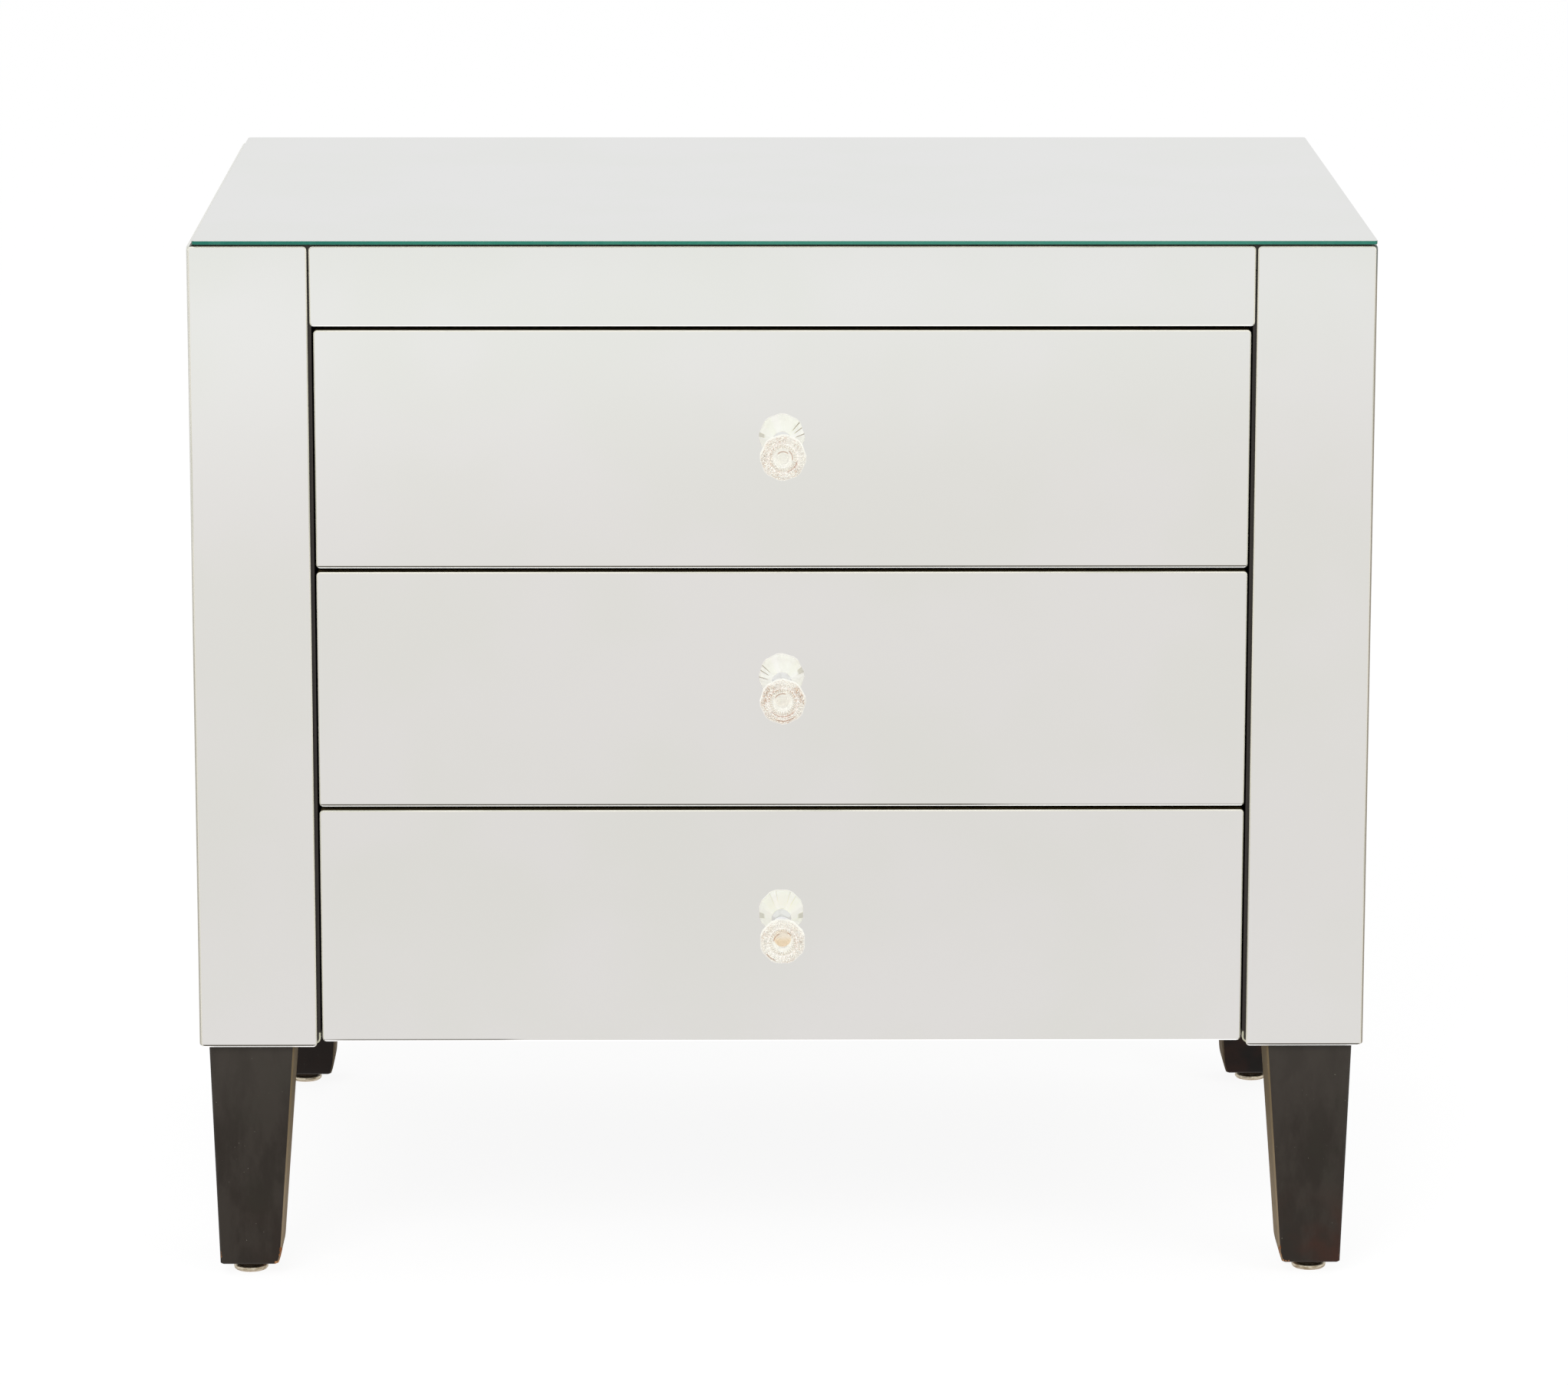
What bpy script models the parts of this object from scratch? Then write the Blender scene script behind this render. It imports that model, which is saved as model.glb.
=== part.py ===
"""A mirrored chest of three drawers on tapered legs.

Units are metres, +Z is up and the front faces -Y. The origin is on the floor, under the middle of the
whole outline, knobs included. Case pieces hang on an empty at the middle of the front, on the floor, so
their local Y is the distance behind the face of the front mirrors. Each drawer hangs on an empty of its
own at the lower edge of its front, which is also a point on the line that it slides along.
"""

import math

import bmesh
import bpy
from mathutils import Matrix, Vector

LEVELS = ("top", "middle", "bottom")
SIDES = {"left": -1, "right": 1}
ENDS = {"front": 1, "rear": -1}

# Case
CASE_WIDTH = 0.813
CASE_DEPTH = 0.5715
POST_MIRROR_REACH = 0.082
BOARD = 0.018
BACK_BOARD = 0.006
PARTITION = 0.012
BACK_REBATE = 0.008
BOARD_ARRIS = 0.0006
POST_CORNER = 0.004
POST_CORNER_STEPS = 4
RAIL_HEIGHT = 0.0549
BOTTOM_SETBACK = 0.001

# Mirror glass
GLASS = 0.003
GLASS_ARRIS = 0.0008
GLASS_CORNER = 0.0025
GLASS_CORNER_STEPS = 3
GLASS_DROP = 0.0016
TOP_SEAM = 0.0012
TOP_GLASS_INSET = 0.0022
TOP_GLASS_SHIFT = 0.0017
TOP_GLASS_ARRIS = 0.0004
SIDE_STRIP = 0.0013
RAIL_END_GAP = 0.0015

# Fits
SEAT = 0.0003
OVERRUN = 0.002
WELD = 0.000002

# Drawer fronts
FRONT_HEIGHT = 0.1653
FRONT_GAP = 0.0028
FRONT_LIFT = 0.0024
FRONT_SIDE_GAP = 0.004
FRONT_BOARD_INSET = 0.0005
FRONT_BOARD_CLEARANCE = 0.002

# Drawer boxes
BOX_LIFT = 0.032
BOX_HEIGHT = 0.115
BOX_REAR_CLEARANCE = 0.0739
BOX_BOARD = 0.012
BOX_BOTTOM = 0.004
GROOVE_LIFT = 0.010
GROOVE_DEPTH = 0.006
BACK_SETBACK = 0.012

# Roller slides
SLIDE_SPACE = 0.0127
SLIDE_STEEL = 0.0012
SLIDE_START = 0.003
SLIDE_END_MARGIN = 0.017
CHANNEL_HEIGHT = 0.029
CHANNEL_DROP = 0.012
CHANNEL_REACH = 0.0094
RUNNER_HEIGHT = 0.014
RUNNER_REACH = 0.008
RUNNER_LIP = 0.009
ROLLER_RADIUS = 0.009
ROLLER_WIDTH = 0.0055
ROLLER_RIM = 0.0008
ROLLER_SETBACK = 0.012
AXLE_RADIUS = 0.003
ROLLER_SIDES = 20

# Legs
LEG_HEIGHT = 0.1621
LEG_TOP = 0.0598
LEG_FRONT_INSET = 0.0053
LEG_BACK_INSET = 0.003
LEG_INSETS = {
    "front_left": 0.0064,
    "front_right": 0.0074,
    "rear_left": 0.0147,
    "rear_right": 0.0081,
}
LEG_OUTER_TAPER = 0.005
LEG_INNER_TAPER = 0.0122
LEG_ARRIS = 0.0012
TOE_HEIGHT = 0.012
TOE_CURVE = 0.0022
TOE_STEPS = 5
TOE_ARRIS = 0.001
SHANK_BORE_MARGIN = 0.001

# Glides
GLIDE_HEIGHT = 0.0083
GLIDE_RADIUS = 0.0122
GLIDE_DISC = 0.0044
GLIDE_RIM = GLIDE_DISC / 2
GLIDE_COLLAR_RADIUS = 0.0094
SHANK_RADIUS = 0.003
SHANK_LENGTH = 0.016
RIM_STEPS = 6
TURNED_SIDES = 20

# Knobs, measured outwards from the face of the drawer's mirror. Each has its own turn, and its own
# place above the middle of the drawer, as it was screwed up.
KNOB_RADIUS = 0.0166
KNOB_NECK_RADIUS = 0.0054
KNOB_CONE = 0.0165
KNOB_GIRDLE = 0.0028
KNOB_CROWN = 0.0026
KNOB_TABLE_RADIUS = 0.0141
KNOB_RING_RADIUS = 0.0104
KNOB_LENS_RADIUS = 0.0068
KNOB_LENS_RISE = 0.0020
KNOB_TOOTH_DEPTH = 0.0006
KNOB_GROOVE = 0.0009
KNOB_SOCKET = 0.0025
KNOB_FACETS = 8
KNOB_SIDES = 32
LENS_STEPS = 3
KNOB_TURNS = {"top": 87, "middle": 95.5, "bottom": 67.5}
KNOB_RISES = {"top": 0.0020, "middle": 0.0008, "bottom": -0.0002}

# Knob stems
STEM_FLANGE_RADIUS = 0.0072
STEM_FLANGE = 0.0016
STEM_RADIUS = 0.0042
STEM_CUP_HEIGHT = 0.0075
STEM_CUP_WALL = 0.0012
STEM_LENGTH = 0.0255
STUD_RADIUS = 0.002
STUD_TAIL = 0.007
STUD_CLEARANCE = 0.0006
STUD_HOLE_SIDES = 16

# Heights that several pieces share
CASE_BOTTOM = GLIDE_HEIGHT + SEAT + LEG_HEIGHT + SEAT
RAIL_BOTTOM = CASE_BOTTOM + FRONT_LIFT + len(LEVELS) * (FRONT_HEIGHT + FRONT_GAP)
MIRROR_TOP = RAIL_BOTTOM + RAIL_HEIGHT
TOP_GLASS_BOTTOM = MIRROR_TOP + TOP_SEAM
TOP_BOARD_TOP = TOP_GLASS_BOTTOM - SEAT
TOP_BOARD_BOTTOM = TOP_BOARD_TOP - BOARD
UPRIGHT_TOP = TOP_BOARD_BOTTOM - SEAT

# Widths and depths that several pieces share
OPENING_WIDTH = CASE_WIDTH - 2 * POST_MIRROR_REACH
FRONT_WIDTH = OPENING_WIDTH - 2 * FRONT_SIDE_GAP
PARTITION_FACE = FRONT_WIDTH / 2 - FRONT_BOARD_INSET + FRONT_BOARD_CLEARANCE
BOX_FACE = PARTITION_FACE - SLIDE_SPACE
CASE_FACE = CASE_WIDTH / 2 - GLASS - SEAT
BOARD_FRONT = GLASS + SEAT
BOARD_BACK = BOARD_FRONT + BOARD
INSIDE_FRONT = BOARD_BACK + SEAT
BACK_BOARD_FACE = CASE_DEPTH - BACK_BOARD
BOX_DEPTH = BACK_BOARD_FACE - BOX_REAR_CLEARANCE - INSIDE_FRONT
SLIDE_LENGTH = BOX_DEPTH - SLIDE_START - SLIDE_END_MARGIN
KNOB_NECK_START = STEM_LENGTH - KNOB_SOCKET + SEAT
KNOB_GIRDLE_START = STEM_LENGTH + KNOB_CONE
KNOB_TABLE = KNOB_GIRDLE_START + KNOB_GIRDLE + KNOB_CROWN
KNOB_REACH = KNOB_TABLE - KNOB_GROOVE + KNOB_LENS_RISE
FRONT_Y = (KNOB_REACH - CASE_DEPTH) / 2


def clear_scene():
    for obj in list(bpy.data.objects):
        bpy.data.objects.remove(obj, do_unlink=True)


def paint(name, colour, roughness, metallic=0.0, transmission=0.0):
    material = bpy.data.materials.new(name)
    material.use_nodes = True
    shader = material.node_tree.nodes["Principled BSDF"]
    shader.inputs["Base Color"].default_value = (*colour, 1.0)
    shader.inputs["Roughness"].default_value = roughness
    shader.inputs["Metallic"].default_value = metallic
    shader.inputs["Transmission Weight"].default_value = transmission
    return material


def empty(name, location, parent=None):
    guide = bpy.data.objects.new(name, None)
    guide.location = location
    guide.parent = parent
    bpy.context.collection.objects.link(guide)
    return guide


def piece(name, bm, material, parent, location=(0, 0, 0), smooth_above=None):
    """One object from a finished bmesh. Above the given angle, in degrees, an edge stays sharp."""
    bmesh.ops.recalc_face_normals(bm, faces=bm.faces[:])
    mesh = bpy.data.meshes.new(name)
    bm.to_mesh(mesh)
    bm.free()
    if smooth_above is not None:
        mesh.shade_smooth()
        mesh.set_sharp_from_angle(angle=math.radians(smooth_above))
    if material is not None:
        mesh.materials.append(material)
    obj = bpy.data.objects.new(name, mesh)
    obj.location = location
    obj.parent = parent
    bpy.context.collection.objects.link(obj)
    return obj


def cutter(name, bm, parent, location=(0, 0, 0)):
    guide = piece(name, bm, None, parent, location)
    guide.hide_render = True
    guide.display_type = "WIRE"
    return guide


def boolean(obj, other, operation):
    modifier = obj.modifiers.new(other.name, "BOOLEAN")
    modifier.operation = operation
    modifier.solver = "EXACT"
    modifier.object = other


def block(size, arris=0.0):
    """A box about its own middle, with its edges taken off."""
    bm = bmesh.new()
    bmesh.ops.create_cube(bm, size=1.0)
    bmesh.ops.scale(bm, vec=size, verts=bm.verts[:])
    if arris:
        bmesh.ops.bevel(
            bm, geom=bm.edges[:], offset=arris, segments=1, profile=0.5, affect="EDGES", material=-1
        )
    return bm


def board(name, low, high, material, parent, arris=BOARD_ARRIS):
    """A board between its lowest and highest corners, which may be given in either order."""
    ends = [sorted(pair) for pair in zip(low, high)]
    size = [end - start for start, end in ends]
    middle = [(start + end) / 2 for start, end in ends]
    return piece(name, block(size, arris), material, parent, middle)


def prism(outline, length, along):
    """A flat outline drawn out along X, Y or Z from 0. Along Y its points are (x, z)."""
    place = {
        "X": lambda a, b: (0, a, b),
        "Y": lambda a, b: (a, 0, b),
        "Z": lambda a, b: (a, b, 0),
    }[along]
    draw = {"X": (length, 0, 0), "Y": (0, length, 0), "Z": (0, 0, length)}[along]
    bm = bmesh.new()
    face = bm.faces.new([bm.verts.new(place(a, b)) for a, b in outline])
    drawn = bmesh.ops.extrude_face_region(bm, geom=[face])
    moved = [item for item in drawn["geom"] if isinstance(item, bmesh.types.BMVert)]
    bmesh.ops.translate(bm, vec=draw, verts=moved)
    return bm


def loft(rings, tip=None):
    """Closed skin through rings of equally many points. The last ring is capped, or drawn to a tip."""
    bm = bmesh.new()
    loops = [[bm.verts.new(point) for point in ring] for ring in rings]
    count = len(loops[0])
    for lower, upper in zip(loops, loops[1:]):
        for i in range(count):
            j = (i + 1) % count
            bm.faces.new((lower[i], lower[j], upper[j], upper[i]))
    bm.faces.new(loops[0])
    cap = bm.faces.new(loops[-1])
    if tip is not None:
        bmesh.ops.poke(bm, faces=[cap])["verts"][0].co = tip
    return bm


def turned(profile, sides):
    """A profile of (radius, height) points that starts and ends on the Z axis, spun round it."""
    bm = bmesh.new()
    points = [bm.verts.new((radius, 0, height)) for radius, height in profile]
    edges = [bm.edges.new(pair) for pair in zip(points, points[1:])]
    bmesh.ops.spin(
        bm, geom=points + edges, axis=(0, 0, 1), cent=(0, 0, 0), angle=math.tau, steps=sides, use_merge=True
    )
    bmesh.ops.remove_doubles(bm, verts=bm.verts[:], dist=WELD)
    return bm


def outwards(bm):
    """Turns a shape that was made about +Z so that it points out of the front, along -Y."""
    bmesh.ops.rotate(bm, cent=(0, 0, 0), matrix=Matrix.Rotation(math.pi / 2, 3, "X"), verts=bm.verts[:])
    return bm


def sheet(width, height, arris=GLASS_ARRIS):
    """A mirror about its own middle in X and Z, from its face at Y 0 back by its thickness."""
    bm = bmesh.new()
    corners = [(-1, -1), (1, -1), (1, 1), (-1, 1)]
    bm.faces.new([bm.verts.new((x * width / 2, 0, z * height / 2)) for x, z in corners])
    bmesh.ops.bevel(
        bm,
        geom=bm.verts[:],
        offset=GLASS_CORNER,
        segments=GLASS_CORNER_STEPS,
        profile=0.5,
        affect="VERTICES",
        material=-1,
    )
    drawn = bmesh.ops.extrude_face_region(bm, geom=bm.faces[:])
    back = [item for item in drawn["geom"] if isinstance(item, bmesh.types.BMVert)]
    bmesh.ops.translate(bm, vec=(0, GLASS, 0), verts=back)
    rim = [edge for edge in bm.edges if abs(edge.verts[0].co.y - edge.verts[1].co.y) < GLASS / 2]
    bmesh.ops.bevel(bm, geom=rim, offset=arris, segments=1, profile=0.5, affect="EDGES", material=-1)
    return bm


def stud_hole(name, length, parent, location):
    """The cutter for the hole that a knob's stud passes through, with its length along Y."""
    bm = bmesh.new()
    bmesh.ops.create_cone(
        bm,
        cap_ends=True,
        segments=STUD_HOLE_SIDES,
        radius1=STUD_RADIUS + STUD_CLEARANCE,
        radius2=STUD_RADIUS + STUD_CLEARANCE,
        depth=length + 2 * OVERRUN,
    )
    return cutter(name, outwards(bm), parent, location)


def make_case_boards(case, paints):
    black = paints["case"]
    for side, sign in SIDES.items():
        make_side_panel(side, sign, case, black)
        make_post(side, sign, case, black)
        board(
            f"partition_{side}",
            (sign * PARTITION_FACE, INSIDE_FRONT, CASE_BOTTOM + BOARD + SEAT),
            (sign * (PARTITION_FACE + PARTITION), BACK_BOARD_FACE - SEAT, UPRIGHT_TOP),
            black,
            case,
        )
    board(
        "top_panel",
        (-CASE_FACE, BOARD_FRONT, TOP_BOARD_BOTTOM),
        (CASE_FACE, CASE_DEPTH, TOP_BOARD_TOP),
        black,
        case,
    )
    inside = CASE_FACE - BOARD - SEAT
    board(
        "bottom_panel",
        (-inside, BOARD_BACK + BOTTOM_SETBACK, CASE_BOTTOM),
        (inside, BACK_BOARD_FACE - SEAT, CASE_BOTTOM + BOARD),
        black,
        case,
    )
    in_rebate = CASE_FACE - BOARD + BACK_REBATE - SEAT
    board(
        "back_panel",
        (-in_rebate, BACK_BOARD_FACE, CASE_BOTTOM),
        (in_rebate, CASE_DEPTH, UPRIGHT_TOP),
        paints["back"],
        case,
    )
    board(
        "top_rail",
        (-PARTITION_FACE + SEAT, BOARD_FRONT, RAIL_BOTTOM),
        (PARTITION_FACE - SEAT, BOARD_BACK, UPRIGHT_TOP),
        black,
        case,
    )


def make_side_panel(side, sign, case, material):
    """A side of the case, with the rebate along its rear edge that takes the back panel."""
    rebate = BACK_BOARD + SEAT
    outline = [
        (CASE_FACE, INSIDE_FRONT),
        (CASE_FACE, CASE_DEPTH),
        (CASE_FACE - BOARD + BACK_REBATE, CASE_DEPTH),
        (CASE_FACE - BOARD + BACK_REBATE, CASE_DEPTH - rebate),
        (CASE_FACE - BOARD, CASE_DEPTH - rebate),
        (CASE_FACE - BOARD, INSIDE_FRONT),
    ]
    bm = prism([(sign * x, y) for x, y in outline], UPRIGHT_TOP - CASE_BOTTOM, "Z")
    piece(f"side_panel_{side}", bm, material, case, (0, 0, CASE_BOTTOM))


def make_post(side, sign, case, material):
    """The board behind a front mirror. The lower corner beside the drawers is rounded over."""
    height = UPRIGHT_TOP - CASE_BOTTOM
    bm = block((CASE_FACE - PARTITION_FACE, BOARD, height))
    corner = [
        edge
        for edge in bm.edges
        if all(sign * vert.co.x < 0 and vert.co.z < 0 for vert in edge.verts)
    ]
    bmesh.ops.bevel(
        bm,
        geom=corner,
        offset=POST_CORNER,
        segments=POST_CORNER_STEPS,
        profile=0.5,
        affect="EDGES",
        material=-1,
    )
    middle = (CASE_FACE + PARTITION_FACE) / 2
    place = (sign * middle, BOARD_FRONT + BOARD / 2, CASE_BOTTOM + height / 2)
    piece(f"post_{side}", bm, material, case, place)


def make_case_mirrors(case, mirror):
    post_inner = OPENING_WIDTH / 2
    post_outer = CASE_WIDTH / 2 - SIDE_STRIP
    mirror_height = MIRROR_TOP - CASE_BOTTOM + GLASS_DROP
    middle = MIRROR_TOP - mirror_height / 2
    for side, sign in SIDES.items():
        place = (sign * (post_inner + post_outer) / 2, 0, middle)
        piece(f"post_mirror_{side}", sheet(post_outer - post_inner, mirror_height), mirror, case, place)
        depth = CASE_DEPTH - BOARD_FRONT
        bm = sheet(depth, mirror_height)
        bmesh.ops.rotate(
            bm, cent=(0, 0, 0), matrix=Matrix.Rotation(sign * math.pi / 2, 3, "Z"), verts=bm.verts[:]
        )
        place = (sign * CASE_WIDTH / 2, BOARD_FRONT + depth / 2, middle)
        piece(f"side_mirror_{side}", bm, mirror, case, place)
    rail = sheet(OPENING_WIDTH - 2 * RAIL_END_GAP, RAIL_HEIGHT)
    piece("rail_mirror", rail, mirror, case, (0, 0, RAIL_BOTTOM + RAIL_HEIGHT / 2))
    top = sheet(CASE_WIDTH - 2 * TOP_GLASS_INSET, CASE_DEPTH, TOP_GLASS_ARRIS)
    bmesh.ops.rotate(top, cent=(0, 0, 0), matrix=Matrix.Rotation(-math.pi / 2, 3, "X"), verts=top.verts[:])
    piece("top_mirror", top, mirror, case, (TOP_GLASS_SHIFT, CASE_DEPTH / 2, TOP_GLASS_BOTTOM + GLASS))


def leg_ring(below_top, trim=0):
    """A leg's section, as points going inwards from its outer corner, at a distance below its top."""
    run = below_top / LEG_HEIGHT
    into_toe = max(0, (below_top - (LEG_HEIGHT - TOE_HEIGHT)) / TOE_HEIGHT)
    outer = LEG_OUTER_TAPER * run + trim
    inner = LEG_TOP - LEG_INNER_TAPER * run - TOE_CURVE * into_toe**2 - trim
    cut = LEG_ARRIS
    return [
        (outer + cut, outer, -below_top),
        (inner - cut, outer, -below_top),
        (inner, outer + cut, -below_top),
        (inner, inner - cut, -below_top),
        (inner - cut, inner, -below_top),
        (outer + cut, inner, -below_top),
        (outer, inner - cut, -below_top),
        (outer, outer + cut, -below_top),
    ]


def leg_rings():
    """A leg's sections from its top down: the straight run, the curve of the toe and its bottom arris."""
    straight = LEG_HEIGHT - TOE_HEIGHT
    curve = TOE_HEIGHT - TOE_ARRIS
    toe = [leg_ring(straight + curve * step / TOE_STEPS) for step in range(TOE_STEPS + 1)]
    return [leg_ring(0), *toe, leg_ring(LEG_HEIGHT, TOE_ARRIS)]


def glide_centre():
    """How far the glide's axis lies inwards from the leg's outer corner."""
    return (LEG_OUTER_TAPER + LEG_TOP - LEG_INNER_TAPER - TOE_CURVE) / 2


def make_legs(case, paints):
    for end, towards_back in ENDS.items():
        corner_y = LEG_FRONT_INSET if end == "front" else CASE_DEPTH - LEG_BACK_INSET
        for side, sign in SIDES.items():
            inset = LEG_INSETS[f"{end}_{side}"]
            corner = (sign * (CASE_WIDTH / 2 - inset), corner_y, CASE_BOTTOM - SEAT)
            rings = [[(-sign * x, towards_back * y, z) for x, y, z in ring] for ring in leg_rings()]
            leg = piece(f"leg_{end}_{side}", loft(rings), paints["leg"], case, corner)
            offset = glide_centre()
            axis = (corner[0] - sign * offset, corner[1] + towards_back * offset)
            bore = bmesh.new()
            depth = SHANK_LENGTH + SHANK_BORE_MARGIN + OVERRUN
            radius = SHANK_RADIUS + SEAT
            bmesh.ops.create_cone(
                bore, cap_ends=True, segments=TURNED_SIDES, radius1=radius, radius2=radius, depth=depth
            )
            place = (*axis, GLIDE_HEIGHT - OVERRUN + depth / 2)
            boolean(leg, cutter(f"bore_{end}_{side}", bore, case, place), "DIFFERENCE")
            make_glide(f"glide_{end}_{side}", case, paints["glide"], axis)


def make_glide(name, case, material, axis):
    """A turned glide: a disc with a rolled rim, a collar under the leg and a shank up into it."""
    rim = [
        (
            GLIDE_RADIUS - GLIDE_RIM + GLIDE_RIM * math.cos(turn),
            GLIDE_RIM + GLIDE_RIM * math.sin(turn),
        )
        for turn in [math.pi * (step / RIM_STEPS - 1 / 2) for step in range(RIM_STEPS + 1)]
    ]
    profile = [
        (0, 0),
        *rim,
        (GLIDE_COLLAR_RADIUS, GLIDE_DISC),
        (GLIDE_COLLAR_RADIUS, GLIDE_HEIGHT),
        (SHANK_RADIUS, GLIDE_HEIGHT),
        (SHANK_RADIUS, GLIDE_HEIGHT + SHANK_LENGTH),
        (0, GLIDE_HEIGHT + SHANK_LENGTH),
    ]
    piece(name, turned(profile, TURNED_SIDES), material, case, (*axis, 0), smooth_above=40)


def roller(sign, from_face, to_face, centre):
    """A nylon wheel on a stub axle. The axle starts inside the steel that carries it."""
    width = ROLLER_WIDTH
    towards = 1 if to_face > from_face else -1
    start = from_face - towards * SLIDE_STEEL / 2
    wheel_start = to_face - towards * width
    length = abs(wheel_start - start)
    profile = [
        (0, 0),
        (AXLE_RADIUS, 0),
        (AXLE_RADIUS, length),
        (ROLLER_RADIUS - ROLLER_RIM, length),
        (ROLLER_RADIUS, length + ROLLER_RIM),
        (ROLLER_RADIUS, length + width - ROLLER_RIM),
        (ROLLER_RADIUS - ROLLER_RIM, length + width),
        (0, length + width),
    ]
    bm = turned(profile, ROLLER_SIDES)
    turn = Matrix.Rotation(sign * towards * math.pi / 2, 3, "Y")
    bmesh.ops.rotate(bm, cent=(0, 0, 0), matrix=turn, verts=bm.verts[:])
    bmesh.ops.translate(bm, vec=(sign * start, *centre), verts=bm.verts[:])
    return bm


def slide_member(name, outline, sign, wheel, material, parent, location):
    """A rolled steel section along Y with its roller made one with it."""
    bm = prism([(sign * x, z) for x, z in outline], SLIDE_LENGTH, "Y")
    member = piece(name, bm, material, parent, location)
    boolean(member, cutter(f"{name}_roller", wheel, parent, location), "UNION")


def channel_outline():
    """The case member's section, from the partition's face towards the drawer. Height 0 is its foot."""
    wall = SLIDE_STEEL
    return [
        (PARTITION_FACE - SEAT, 0),
        (PARTITION_FACE - SEAT, CHANNEL_HEIGHT),
        (PARTITION_FACE - SEAT - CHANNEL_REACH, CHANNEL_HEIGHT),
        (PARTITION_FACE - SEAT - CHANNEL_REACH, CHANNEL_HEIGHT - wall),
        (PARTITION_FACE - SEAT - wall, CHANNEL_HEIGHT - wall),
        (PARTITION_FACE - SEAT - wall, wall),
        (PARTITION_FACE - SEAT - CHANNEL_REACH, wall),
        (PARTITION_FACE - SEAT - CHANNEL_REACH, 0),
    ]


def runner_outline():
    """The drawer member's section: a web beside the box, a lip under it and a flange over the rollers."""
    wall = SLIDE_STEEL
    web = BOX_FACE + SEAT
    return [
        (web - RUNNER_LIP, -SEAT - wall),
        (web - RUNNER_LIP, -SEAT),
        (web, -SEAT),
        (web, RUNNER_HEIGHT),
        (web + wall + RUNNER_REACH, RUNNER_HEIGHT),
        (web + wall + RUNNER_REACH, RUNNER_HEIGHT - wall),
        (web + wall, RUNNER_HEIGHT - wall),
        (web + wall, -SEAT - wall),
    ]


def make_slides(level, height, case, drawer, material):
    """One pair of roller slides. Heights are above the case's and the drawer's own empties."""
    start = INSIDE_FRONT + SLIDE_START
    flange_bottom = BOX_LIFT + RUNNER_HEIGHT - SLIDE_STEEL
    channel_floor = BOX_LIFT - CHANNEL_DROP + SLIDE_STEEL
    channel_web = PARTITION_FACE - SEAT - SLIDE_STEEL
    runner_web = BOX_FACE + SEAT + SLIDE_STEEL
    wheel_gap = (channel_web - runner_web - ROLLER_WIDTH) / 2
    for side, sign in SIDES.items():
        front_wheel = roller(
            sign,
            channel_web,
            channel_web - wheel_gap - ROLLER_WIDTH,
            (ROLLER_SETBACK, flange_bottom - SEAT - ROLLER_RADIUS - (BOX_LIFT - CHANNEL_DROP)),
        )
        slide_member(
            f"{level}_case_slide_{side}",
            channel_outline(),
            sign,
            front_wheel,
            material,
            case,
            (0, start, height + BOX_LIFT - CHANNEL_DROP),
        )
        rear_wheel = roller(
            sign,
            runner_web,
            runner_web + wheel_gap + ROLLER_WIDTH,
            (SLIDE_LENGTH - ROLLER_SETBACK, channel_floor + SEAT + ROLLER_RADIUS - BOX_LIFT),
        )
        slide_member(
            f"{level}_drawer_slide_{side}",
            runner_outline(),
            sign,
            rear_wheel,
            material,
            drawer,
            (0, start, BOX_LIFT),
        )


def make_front(level, drawer, paints):
    """The mirror on a drawer and the board behind it, which is grooved for the box's bottom."""
    glass = sheet(FRONT_WIDTH, FRONT_HEIGHT)
    mirror = piece(f"{level}_drawer_mirror", glass, paints["mirror"], drawer, (0, 0, FRONT_HEIGHT / 2))
    stud = FRONT_HEIGHT / 2 + KNOB_RISES[level]
    hole = stud_hole(f"{level}_stud_hole", BOARD_BACK, drawer, (0, BOARD_BACK / 2, stud))
    boolean(mirror, hole, "DIFFERENCE")
    half = FRONT_WIDTH / 2 - FRONT_BOARD_INSET
    front = board(
        f"{level}_drawer_front",
        (-half, BOARD_FRONT, FRONT_BOARD_INSET),
        (half, BOARD_BACK, FRONT_HEIGHT - FRONT_BOARD_INSET),
        paints["case"],
        drawer,
    )
    boolean(front, hole, "DIFFERENCE")
    groove_width = 2 * (BOX_FACE - BOX_BOARD + GROOVE_DEPTH)
    groove = block((groove_width, GROOVE_DEPTH + OVERRUN, BOX_BOTTOM + 2 * SEAT))
    place = (0, BOARD_BACK - (GROOVE_DEPTH - OVERRUN) / 2, BOX_LIFT + GROOVE_LIFT + BOX_BOTTOM / 2 + SEAT)
    boolean(front, cutter(f"{level}_front_groove", groove, drawer, place), "DIFFERENCE")


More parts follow.
